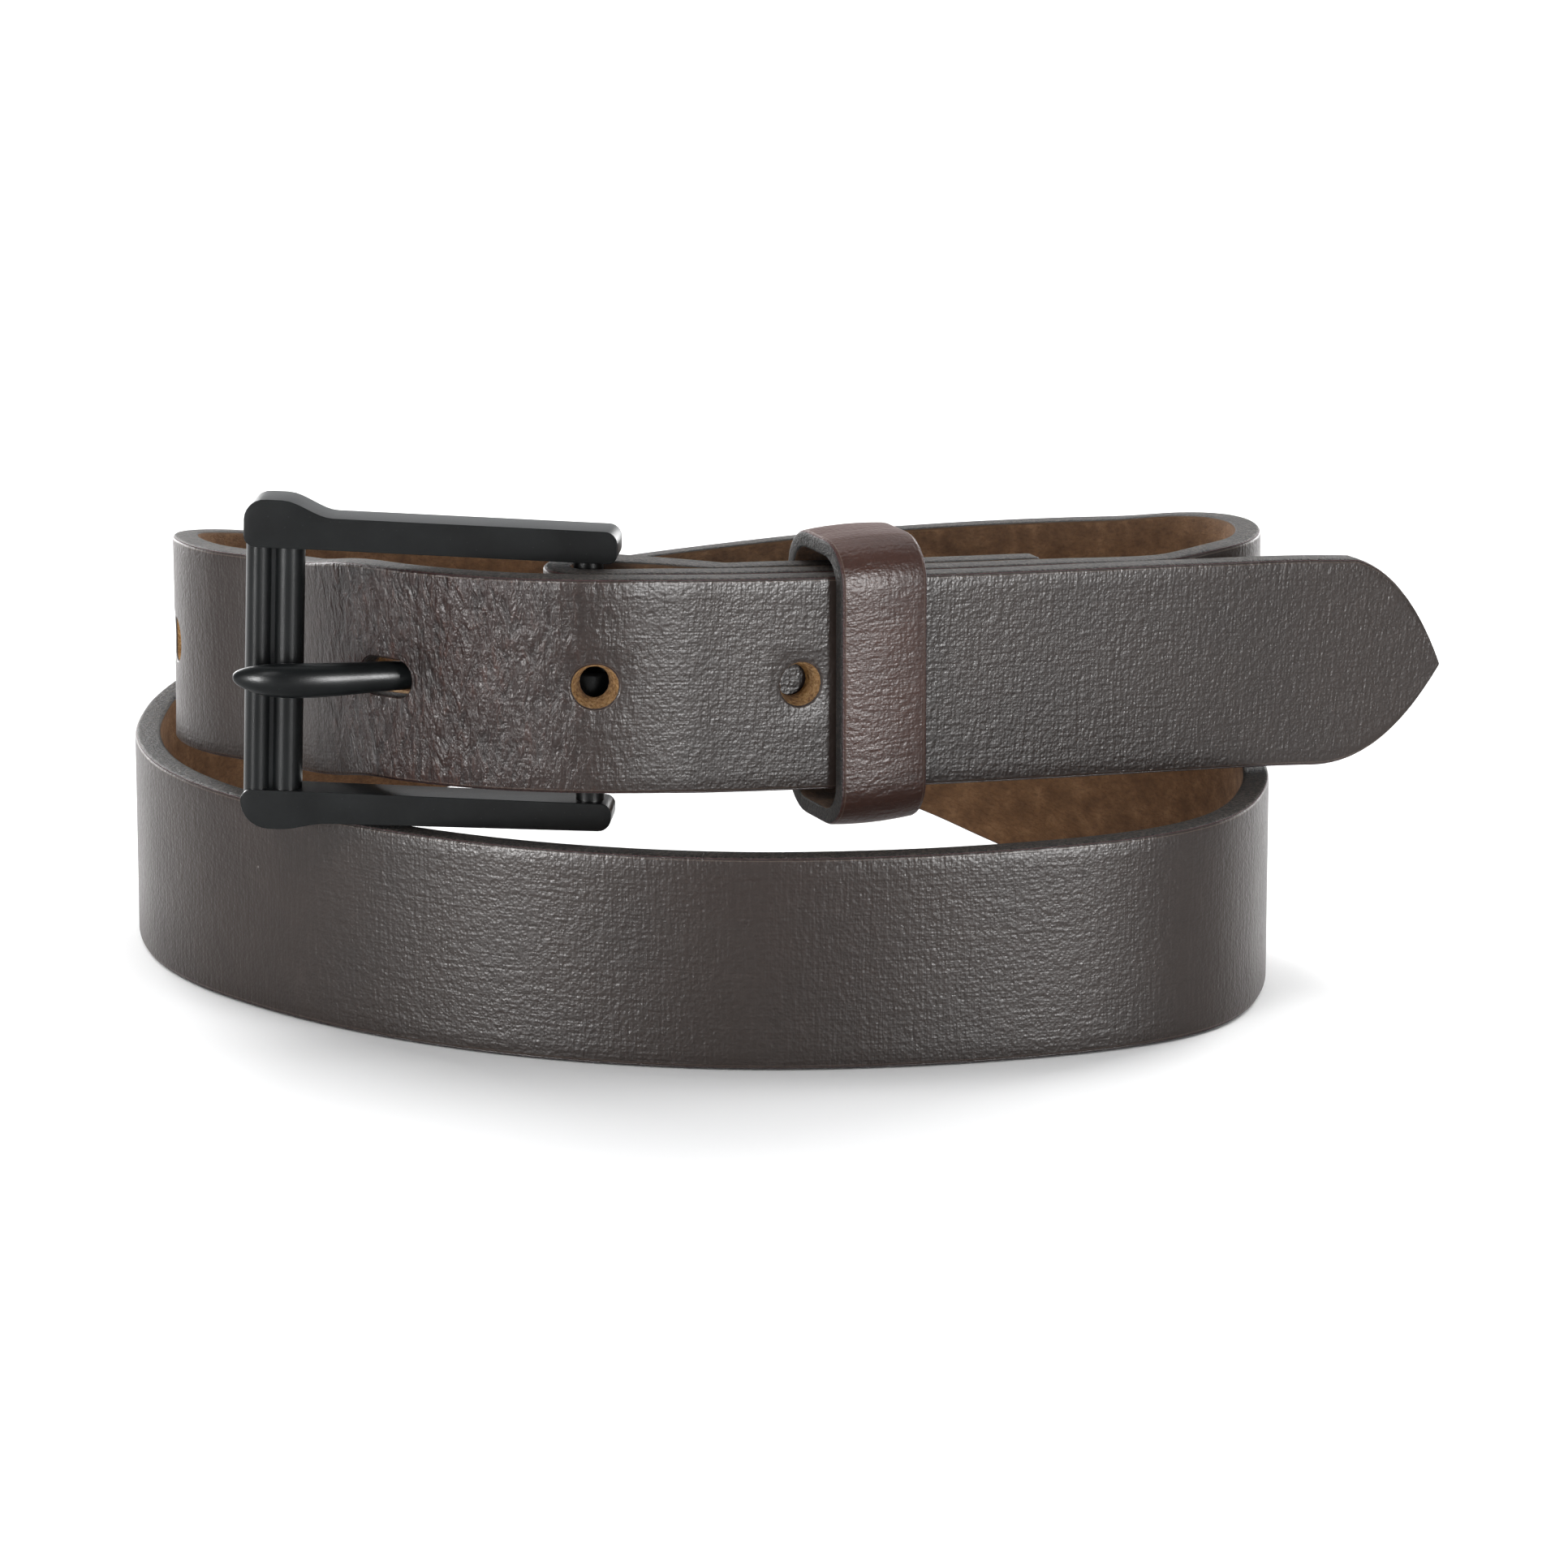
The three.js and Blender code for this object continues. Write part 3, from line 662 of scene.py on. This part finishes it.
def punched(radius, taper, wall=RAW):
    """A punched hole: a pressed ring, a rounded lip, and a wall that narrows towards the flesh."""
    t = STRAP_THICK / 2
    return [(-t, radius + 1.5, GRAIN), (-t + 0.12, radius + 0.8, GRAIN),
            (-t + 0.08, radius + 0.35, GRAIN), (-t + 0.2, radius + 0.12, 0.45),
            (-t + 0.42, radius, wall), (-t + 1.0, radius - 0.35 * taper, wall),
            (0.0, radius - 0.65 * taper, wall), (t - 0.9, radius - 0.9 * taper, RAW),
            (t - 0.25, radius - taper, RAW), (t - 0.06, radius - 0.85 * taper, 2.7),
            (t, radius, FLESH)]


def plain_hole(radius):
    t = STRAP_THICK / 2
    return [(-t, radius + 0.5, GRAIN), (-t + 0.05, radius + 0.08, 0.45), (-t + 0.3, radius, RAW),
            (0.0, radius, RAW), (t - 0.3, radius, RAW), (t - 0.05, radius + 0.08, 2.7),
            (t, radius + 0.5, FLESH)]


def seated_hole(radius, seat, depth):
    t = STRAP_THICK / 2
    return [(-t, seat + 0.4, GRAIN), (-t + 0.05, seat + 0.05, 0.45), (-t + depth - 0.1, seat, RAW),
            (-t + depth, seat - 0.1, RAW), (-t + depth, radius + 0.1, RAW),
            (-t + depth + 0.1, radius, RAW), (t - 0.3, radius, RAW),
            (t - 0.05, radius + 0.08, 2.7), (t, radius + 0.5, FLESH)]


POST_PLACES = (0.27, 0.565)
POST_HEAD_RADIUS = 4.5
POST_BARREL_RADIUS = 2.4
FREE_END_FROM = 6    # the free end's route point at a share of 0
FREE_END_POINTS = 8  # route points from there to a share of 1
FLAP_SPAN = (6.0, FOLD_START - 4)
MAIN_SPAN = (FOLD_END + 4, path_length[19 * SAMPLES])


def free_end_matrix(place, layers):
    """Local x along the free end, y inward and z up its width, at a share of the way to the tip."""
    index = FREE_END_FROM + place * FREE_END_POINTS
    point = np.array([np.interp(index * SAMPLES, np.arange(len(free_path)), free_path[:, k])
                      for k in range(3)])
    slope = np.array([np.interp(index * SAMPLES, np.arange(len(free_path)), free_slope[:, k])
                      for k in range(3)])
    along = unit(slope)
    across = inward(along)
    up = unit(np.cross(along, across))
    return point + across * layers * LAYER, along, across, up


def make_strap(leather):
    strap = StrapMesh()
    for number in range(5):
        u = STRAP_LENGTH - TIP_TO_FIRST_HOLE - number * HOLE_PITCH
        if number == 2:
            # The tongue runs through this one at a slant, so its ends on the faces are offset.
            crossing = nearest_u((-51.1, 24.1, TONGUE_Z), u - 8, u + 8)[0] - u
            # This hole's wall takes the dark edge colour in place of raw tan, as painted shade round the
            # tongue.
            strap.hole(u, -0.5, (crossing - 2.6, crossing + 1.6), (crossing - 2.0, crossing + 4.2),
                       punched(2.45, 0.0, EDGE), 5.4)
        else:
            strap.hole(u, 0.0, (0.0, 0.0), (0.0, 0.0), punched(HOLE_RADIUS, 0.8))
    fold_middle = (FOLD_START + FOLD_END) / 2
    strap.hole(fold_middle, TONGUE_Z - FOLD_Z, (-11.5, 11.5), (-11.5, 11.5), plain_hole(3.2), 4.0)
    for place in POST_PLACES:
        point, along, across, up = free_end_matrix(place, 1)
        u, v = nearest_u(point, *MAIN_SPAN)
        strap.hole(u, v, (0, 0), (0, 0),
                   seated_hole(POST_BARREL_RADIUS + GAP, POST_HEAD_RADIUS + GAP, 1.35), 6.0)
        point, along, across, up = free_end_matrix(place, 2)
        u, v = nearest_u(point, *FLAP_SPAN)
        strap.hole(u, v, (0, 0), (0, 0), plain_hole(POST_BARREL_RADIUS + GAP), 5.0)
    obj = strap.make("leather_strap")
    smooth(obj, 40)
    obj.data.materials.append(leather)
    dress(obj, "belt", "strap_leather", "strap")
    return obj


# ---- making by hand -----------------------------------------------------------------------------

def pick(obj):
    if bpy.context.object and bpy.context.object.mode != "OBJECT":
        bpy.ops.object.mode_set(mode="OBJECT")
    bpy.ops.object.select_all(action="DESELECT")
    obj.select_set(True)
    bpy.context.view_layer.objects.active = obj


def smooth(obj, degrees):
    pick(obj)
    bpy.ops.object.shade_smooth_by_angle(angle=math.radians(degrees))


def apply_all(obj):
    pick(obj)
    for modifier in list(obj.modifiers):
        bpy.ops.object.modifier_apply(modifier=modifier.name)


def bevel(obj, width, segments=4, angle=35):
    modifier = obj.modifiers.new("bevel", "BEVEL")
    modifier.width = width * MM
    modifier.segments = segments
    modifier.limit_method = "ANGLE"
    modifier.angle_limit = math.radians(angle)
    apply_all(obj)


def subdivide(obj, levels):
    modifier = obj.modifiers.new("subdivide", "SUBSURF")
    modifier.levels = levels
    modifier.render_levels = levels
    apply_all(obj)


def combine(obj, other, operation="UNION"):
    modifier = obj.modifiers.new("combine", "BOOLEAN")
    modifier.operation = operation
    modifier.solver = "EXACT"
    modifier.object = other
    apply_all(obj)
    bpy.data.objects.remove(other)


def bake_place(obj):
    """Puts the object's place into its mesh."""
    pick(obj)
    bpy.ops.object.transform_apply(location=True, rotation=True, scale=True)


def block(name, low, high):
    """A box between two corners, in millimetres of the piece's own space."""
    low, high = Vector(low) * MM, Vector(high) * MM
    bpy.ops.object.select_all(action="DESELECT")
    bpy.ops.mesh.primitive_cube_add(size=1, location=(low + high) / 2)
    obj = bpy.context.object
    obj.name = name
    obj.scale = high - low
    bake_place(obj)
    return obj


def cylinder(name, radii, low, high, centre=(0, 0), segments=48):
    """An upright elliptical cylinder from z = low to z = high."""
    bpy.ops.object.select_all(action="DESELECT")
    bpy.ops.mesh.primitive_cylinder_add(
        vertices=segments, radius=MM, depth=(high - low) * MM,
        location=(centre[0] * MM, centre[1] * MM, (low + high) / 2 * MM))
    obj = bpy.context.object
    obj.name = name
    obj.scale = (radii[0], radii[1], 1)
    bake_place(obj)
    return obj


def cut_at(obj, stops):
    """Cuts the mesh across x at each stop, without parting it."""
    pick(obj)
    bpy.ops.object.mode_set(mode="EDIT")
    for stop in stops:
        bpy.ops.mesh.select_all(action="SELECT")
        bpy.ops.mesh.bisect(plane_co=(stop * MM, 0, 0), plane_no=(1, 0, 0))
    bpy.ops.object.mode_set(mode="OBJECT")


def shift_where(obj, move):
    """Moves each vertex to where move puts its place in millimetres."""
    pick(obj)
    bpy.ops.object.mode_set(mode="EDIT")
    work = bmesh.from_edit_mesh(obj.data)
    for vertex in work.verts:
        vertex.co = Vector(move(vertex.co / MM)) * MM
    bmesh.update_edit_mesh(obj.data)
    bpy.ops.object.mode_set(mode="OBJECT")


def put(obj, origin, along, across, up):
    """Moves a piece from its own space to its place on the belt."""
    matrix = Matrix.Identity(4)
    for column, axis in enumerate((along, across, up)):
        for row in range(3):
            matrix[row][column] = float(axis[row])
    place = to_world(origin)
    for row in range(3):
        matrix[row][3] = float(place[row])
    obj.data.transform(matrix)
    obj.data.update()


def dress(obj, body, slot_name, *nodes):
    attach(obj, body)
    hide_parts(*nodes)


# ---- the buckle ---------------------------------------------------------------------------------

FRONT = -45.45          # the front bar's outer side, from the heel bar's axis
RAIL_END = 3.6
BUCKLE_HALF_DEPTH = 2.9
# Each rail's outer edge at the corner block, just past it and at the free end, its inner edge
# at both ends, and the radius of the corner.
UPPER_RAIL = (22.15, 20.0, 19.95, 15.75, 15.65, 2.8)
LOWER_RAIL = (22.1, 21.05, 20.2, 16.9, 16.5, 3.7)


def rounded(distance, radius):
    """How far a rounded corner stands back at a distance from its end."""
    short = radius - min(max(distance, 0.0), radius)
    return radius - math.sqrt(max(radius ** 2 - short ** 2, 0.0))


def eased(x, start, length):
    share = min(max((x - start) / length, 0.0), 1.0)
    return share * share * (3 - 2 * share)


def rail_outer(x, shape):
    """The rail's outer edge: a raised corner block that runs down in a hollow to the rail."""
    block_top, near, far, _, _, corner = shape
    share = min(max((x - FRONT - 11.7) / (RAIL_END - FRONT - 11.7), 0.0), 1.0)
    rail = near + (far - near) * share
    top = rail + (block_top - near) * (1 - eased(x, FRONT + 5.0, 6.7))
    return top - rounded(x - FRONT, corner) - rounded(RAIL_END - x, 1.7)


def rail_inner(x, shape):
    near, far = shape[3:5]
    low = near + (far - near) * (x - FRONT) / (RAIL_END - FRONT)
    return low + rounded(x - FRONT, 1.5) + rounded(RAIL_END - x, 1.3)


def make_rail(name, sign, shape):
    """One rail with its corner block; sign is 1 for the upper and -1 for the lower."""
    rail = block(name, (FRONT, -BUCKLE_HALF_DEPTH, 10), (RAIL_END, BUCKLE_HALF_DEPTH, 20))
    stops = [FRONT + d for d in (0.12, 0.35, 0.7, 1.1, 1.5, 2.2, 3.0, 3.7, 5.0, 6.0, 6.8, 7.6, 8.4,
                                 9.2, 10.0, 10.8, 11.7, 20, 30)]
    stops += [RAIL_END - d for d in (1.7, 1.3, 0.9, 0.55, 0.28, 0.1)]
    cut_at(rail, stops)

    def shaped(place):
        x, y, z = place
        depth = 1.03 - 0.05 * eased(x, FRONT + 5.5, 5.5)
        height = rail_outer(x, shape) if z > 15 else rail_inner(x, shape)
        return (x, y * depth, sign * height)

    shift_where(rail, shaped)
    if sign < 0:
        clean_normals(rail)
    bevel(rail, 1.6, 8, 50)
    return rail


def make_buckle(enamel):
    frame_piece = make_rail("square_buckle", 1, UPPER_RAIL)
    combine(frame_piece, make_rail("lower_rail", -1, LOWER_RAIL))
    ridge = cylinder("broad_ridge", (1.9, 2.5), -17.6, 16.6, (FRONT + 1.95, -0.35))
    combine(frame_piece, ridge)
    ridge = cylinder("narrow_ridge", (2.05, 2.35), -17.6, 16.6, (FRONT + 5.75, -0.3))
    combine(frame_piece, ridge)
    web = block("bar_web", (FRONT + 0.9, -1.7, -17.6), (FRONT + 7.1, 2.55, 16.6))
    bevel(web, 0.9, 4)
    combine(frame_piece, web)
    frame_piece.data.transform(Matrix.Rotation(BUCKLE_TILT, 4, "Y"))
    combine(frame_piece, cylinder("heel_bar", (HEEL_BAR_RADIUS, HEEL_BAR_RADIUS), -17.5, 17.2))
    smooth(frame_piece, 38)
    turn = Matrix.Rotation(BUCKLE_TURN, 4, "Z")
    put(frame_piece, (*HEEL, BUCKLE_Z), turn.col[0][:3], turn.col[1][:3], (0, 0, 1))
    frame_piece.data.materials.clear()
    frame_piece.data.materials.append(enamel)
    dress(frame_piece, "buckle", "black_metal", "buckle_frame")


# The tongue's middle line and its half sizes: x, y, half height, half thickness.
TONGUE_STATIONS = [
    (-28.4, 22.1, 1.8, 1.6), (-31.0, 22.7, 1.9, 1.7), (-36.0, 23.8, 1.95, 1.85),
    (-41.0, 24.65, 1.95, 1.9), (-46.0, 25.0, 1.95, 1.9), (-49.5, 24.6, 2.0, 1.9),
    (-53.0, 23.5, 2.1, 1.92), (-57.0, 21.6, 2.25, 1.95), (-60.5, 20.3, 2.4, 1.98),
    (-63.5, 19.6, 2.45, 1.98), (-66.0, 19.35, 2.38, 1.95), (-68.2, 19.5, 2.12, 1.8),
    (-69.8, 19.85, 1.75, 1.5), (-71.0, 20.2, 1.3, 1.15), (-71.8, 20.45, 0.8, 0.75),
    (-72.1, 20.55, 0.35, 0.35)]


def tongue_rise(x):
    """The tongue follows the front bar's tilt from its hole to its tip."""
    return max(0.0, -50.0 - x) * 0.03


def make_tongue(enamel):
    x, y, tall, deep = TONGUE_STATIONS[0]
    bpy.ops.object.select_all(action="DESELECT")
    bpy.ops.mesh.primitive_circle_add(
        vertices=12, radius=MM, fill_type="NGON", location=(0, 0, 0),
        rotation=(0, math.radians(-90), 0))
    obj = bpy.context.object
    obj.name = "tongue_prong"
    obj.location = (x * MM, y * MM, 0)
    bake_place(obj)
    bpy.ops.object.mode_set(mode="EDIT")
    bpy.ops.mesh.select_all(action="SELECT")
    centre = (x * MM, y * MM, 0)
    bpy.ops.transform.resize(value=(1, deep, tall), center_override=centre)
    for next_x, next_y, next_tall, next_deep in TONGUE_STATIONS[1:]:
        move = ((next_x - x) * MM, (next_y - y) * MM, 0)
        bpy.ops.mesh.extrude_region_move(TRANSFORM_OT_translate={"value": move})
        x, y = next_x, next_y
        centre = (x * MM, y * MM, 0)
        bpy.ops.transform.resize(
            value=(1, next_deep / deep, next_tall / tall), center_override=centre)
        tall, deep = next_tall, next_deep
    bpy.ops.mesh.select_all(action="SELECT")
    bpy.ops.mesh.normals_make_consistent(inside=False)
    bpy.ops.object.mode_set(mode="OBJECT")
    shift_where(obj, lambda place: (place[0], place[1], place[2] + tongue_rise(place[0])))
    subdivide(obj, 2)
    bore_radius = HEEL_BAR_RADIUS + GAP
    curl = cylinder("curl", (bore_radius + 2.4, bore_radius + 2.4), -2, 2, HEEL)
    bevel(curl, 0.55, 4)
    combine(obj, curl)
    combine(obj, cylinder("bore", (bore_radius, bore_radius), -4, 4, HEEL), "DIFFERENCE")
    smooth(obj, 40)
    put(obj, (0, 0, TONGUE_Z), (1, 0, 0), (0, 1, 0), (0, 0, 1))
    obj.data.materials.clear()
    obj.data.materials.append(enamel)
    dress(obj, "prong", "black_metal", "tongue")


# ---- the keeper ---------------------------------------------------------------------------------

KEEPER_WIDTH = 12.4
KEEPER_THICK = 2.6
KEEPER_HALF_HEIGHT = 19.5
KEEPER_HALF_DEPTH = 9.2
KEEPER_CORNER = 6.2
KEEPER_PLACE = 0.446
STAPLE_PLACES = (-3.2, 3.2)
STAPLE_LEG_HEIGHT = 3.05


def keeper_outline(count=9):
    """A round-cornered ring, y across the layers and z up, from the seam at the back and round."""
    y, z, r = KEEPER_HALF_DEPTH, KEEPER_HALF_HEIGHT, KEEPER_CORNER
    points = []
    for corner, (sy, sz, start) in enumerate(
            ((1, 1, 0), (-1, 1, 90), (-1, -1, 180), (1, -1, 270))):
        for step in range(count):
            a = math.radians(start + 90 * step / (count - 1))
            points.append((sy * (y - r) + r * math.cos(a), sz * (z - r) + r * math.sin(a)))
    return points


def densify(points, step=1.6):
    out = []
    for k, p in enumerate(points):
        q = points[(k + 1) % len(points)]
        count = max(1, round(math.dist(p, q) / step))
        for s in range(count):
            t = s / count
            out.append((p[0] + (q[0] - p[0]) * t, p[1] + (q[1] - p[1]) * t))
    return out


def make_keeper(leather):
    """A band of leather: its section is swept round the ring, crowned outside, with round edges."""
    half = KEEPER_WIDTH / 2
    outer = densify(keeper_outline())
    arc = np.concatenate([[0], np.cumsum([math.dist(outer[k], outer[(k + 1) % len(outer)])
                                          for k in range(len(outer))])])
    size = len(outer)
    normals = []
    for k in range(size):
        (ay, az), (by, bz) = outer[k - 1], outer[(k + 1) % size]
        ty, tz = by - ay, bz - az
        length = math.hypot(ty, tz)
        normals.append((-tz / length, ty / length))
    section = []
    r = 0.7
    for x in np.linspace(-half + r, half - r, 9):
        crown = 0.28 * (1 - (x / (half - r)) ** 2)
        section.append((x, -0.28 + crown, GRAIN))
    for step in range(1, 5):
        a = math.pi / 2 * step / 4
        section.append((half - r + r * math.sin(a), -0.28 - r + r * math.cos(a), step / 4))
    for step in range(5):
        a = math.pi / 2 * step / 4
        section.append((half - 0.4 + 0.4 * math.cos(a), -KEEPER_THICK + 0.4 - 0.4 * math.sin(a),
                        1 + step / 4))
    for x in np.linspace(half - 0.4, -half + 0.4, 7)[1:]:
        section.append((x, -KEEPER_THICK, FLESH))
    for step in range(1, 5):
        a = math.pi / 2 * step / 4
        section.append((-half + 0.4 - 0.4 * math.sin(a), -KEEPER_THICK + 0.4 - 0.4 * math.cos(a),
                        2 - step / 4))
    for step in range(4):
        a = math.pi / 2 * step / 4
        section.append((-half + r - r * math.cos(a), -0.28 - r + r * math.sin(a), 1 - step / 4))
    verts, sides, maps = [], [], []
    for k in range(size):
        (y, z), (ny, nz) = outer[k], normals[k]
        for x, out, side in section:
            verts.append((x * MM, (y - ny * out) * MM, (z - nz * out) * MM))
            sides.append(side)
            maps.append((arc[k] * MM + 3.0, (x + (60 if side > 1.5 else 0)) * MM))
    wide = len(section)
    faces = []
    for k in range(size):
        for j in range(wide):
            n, m = (k + 1) % size, (j + 1) % wide
            faces.append((k * wide + j, k * wide + m, n * wide + m, n * wide + j))
    data = bpy.data.meshes.new("leather_keeper")
    data.from_pydata(verts, [], faces)
    data.attributes.new("side", "FLOAT", "POINT").data.foreach_set(
        "value", np.array(sides, np.float32))
    layout = data.uv_layers.new(name="leather")
    for loop in data.loops:
        layout.data[loop.index].uv = maps[loop.vertex_index]
    obj = bpy.data.objects.new("leather_keeper", data)
    bpy.context.collection.objects.link(obj)
    clean_normals(obj)
    seam = block("seam", (-half - 1, KEEPER_HALF_DEPTH - 0.75, -0.35),
                 (half + 1, KEEPER_HALF_DEPTH + 1, 0.35))
    combine(obj, seam, "DIFFERENCE")
    for x in STAPLE_PLACES:
        for z in (-STAPLE_LEG_HEIGHT, STAPLE_LEG_HEIGHT):
            hole = block("staple_hole", (x - 0.75, KEEPER_HALF_DEPTH - 5, z - 0.75),
                         (x + 0.75, KEEPER_HALF_DEPTH + 2, z + 0.75))
            combine(obj, hole, "DIFFERENCE")
    smooth(obj, 40)
    origin, along, across, up = free_end_matrix(KEEPER_PLACE, 1)
    along = unit(np.array([along[0], along[1], 0.0]))
    across = inward(along)
    put(obj, origin, along, across, (0, 0, 1))
    obj.data.materials.clear()
    obj.data.materials.append(leather)
    dress(obj, "keeper", "keeper_leather", "keeper_loop")


# ---- fasteners ----------------------------------------------------------------------------------

STAPLE_WIRE = 0.9
STAPLE_HALF_LENGTH = 3.5
STAPLE_LEG = 2.1
POST_HEAD_THICK = 1.0
POST_BORE_RADIUS = 1.6
SCREW_STANDOFF = 0.75
SCREW_HEAD_THICK = 1.2
SCREW_SHANK_RADIUS = 1.25
SCREW_SHANK_LENGTH = 4.5
SCREW_SLOT_HALF_WIDTH = 0.55
SCREW_SLOT_DEPTH = 0.48


def make_staple(name, x, metal):
    """A wire staple: its crown lies on the keeper's back, its legs run forward."""
    face = KEEPER_HALF_DEPTH + GAP
    wire = STAPLE_WIRE / 2
    obj = block(name, (x - wire, face, -STAPLE_HALF_LENGTH),
                (x + wire, face + STAPLE_WIRE, STAPLE_HALF_LENGTH))
    for z in (-STAPLE_LEG_HEIGHT, STAPLE_LEG_HEIGHT):
        combine(obj, block("leg", (x - wire, face - STAPLE_LEG, z - wire),
                           (x + wire, face + 0.5, z + wire)))
    bevel(obj, 0.26, 3)
    smooth(obj, 50)
    origin, along, _, _ = free_end_matrix(KEEPER_PLACE, 1)
    along = unit(np.array([along[0], along[1], 0.0]))
    put(obj, origin, along, inward(along), (0, 0, 1))
    obj.data.materials.clear()
    obj.data.materials.append(metal)
    dress(obj, "keeper", "fastener_metal", name)


def make_post(name, place, metal):
    """A flat head let into the grain, with a barrel that is bored for the screw."""
    top = -STRAP_THICK / 2
    obj = cylinder(name, (POST_HEAD_RADIUS, POST_HEAD_RADIUS), top, top + POST_HEAD_THICK,
                   segments=64)
    bevel(obj, 0.3, 4)
    end = STRAP_THICK / 2 + LAYER - GAP
    barrel = cylinder("barrel", (POST_BARREL_RADIUS, POST_BARREL_RADIUS), top + 0.5, end,
                      segments=48)
    combine(obj, barrel)
    bore = cylinder("bore", (POST_BORE_RADIUS, POST_BORE_RADIUS), top + POST_HEAD_THICK, end + 1,
                    segments=40)
    combine(obj, bore, "DIFFERENCE")
    finish_fastener(obj, name, place, metal)


def make_screw(name, place, metal):
    """A slotted, softly domed head with a plain shank that runs into the post."""
    face = STRAP_THICK / 2 + LAYER + SCREW_STANDOFF
    top = face + SCREW_HEAD_THICK
    obj = cylinder(name, (POST_HEAD_RADIUS, POST_HEAD_RADIUS), face, top, segments=64)
    bevel(obj, 0.42, 5)
    combine(obj, cylinder("shank", (SCREW_SHANK_RADIUS, SCREW_SHANK_RADIUS),
                          face - SCREW_SHANK_LENGTH, face + 0.6, segments=40))
    half = SCREW_SLOT_HALF_WIDTH
    slot = block("slot", (-5, -half, top - SCREW_SLOT_DEPTH), (5, half, top + 0.8))
    combine(obj, slot, "DIFFERENCE")
    finish_fastener(obj, name, place, metal)


def finish_fastener(obj, name, place, metal):
    smooth(obj, 32)
    origin, along, across, up = free_end_matrix(place, 1)
    put(obj, origin, along, -up, across)
    obj.data.materials.clear()
    obj.data.materials.append(metal)
    dress(obj, "belt", "fastener_metal", name)


def make_fasteners(metal):
    for number, x in enumerate(STAPLE_PLACES, 1):
        make_staple(f"staple_{number}", x, metal)
    for number, place in enumerate(POST_PLACES, 1):
        make_post(f"post_{number}", place, metal)
        make_screw(f"screw_{number}", place, metal)


# ---- the floor ----------------------------------------------------------------------------------

def make_floor():
    bpy.ops.object.select_all(action="DESELECT")
    bpy.ops.mesh.primitive_plane_add(size=6, location=(0, 1.0, -0.0002))
    floor = bpy.context.object
    floor.name = "studio_floor"
    paint = Paint("pale_floor", Roughness=0.9)
    floor.data.materials.append(paint.finish((0.94, 0.94, 0.94, 1)))


studio()
make_floor()
strap_grain = dressed_leather(
    "strap_leather", srgb(56, 47, 43), srgb(44, 20, 15), srgb(24, 21, 20), srgb(64, 57, 51),
    (FREE_START + 4) * MM, (STRAP_LENGTH - 112) * MM, 1.2, 0.55, 0.29)
keeper_grain = dressed_leather(
    "keeper_leather", srgb(80, 54, 45), srgb(74, 46, 38), srgb(14, 11, 10), srgb(40, 33, 29),
    2.0, 4.0, 0.16, 0.1, 0.3)
enamel = black_enamel()
make_strap(strap_grain)
make_buckle(enamel)
make_tongue(enamel)
make_keeper(keeper_grain)
make_fasteners(nickel())
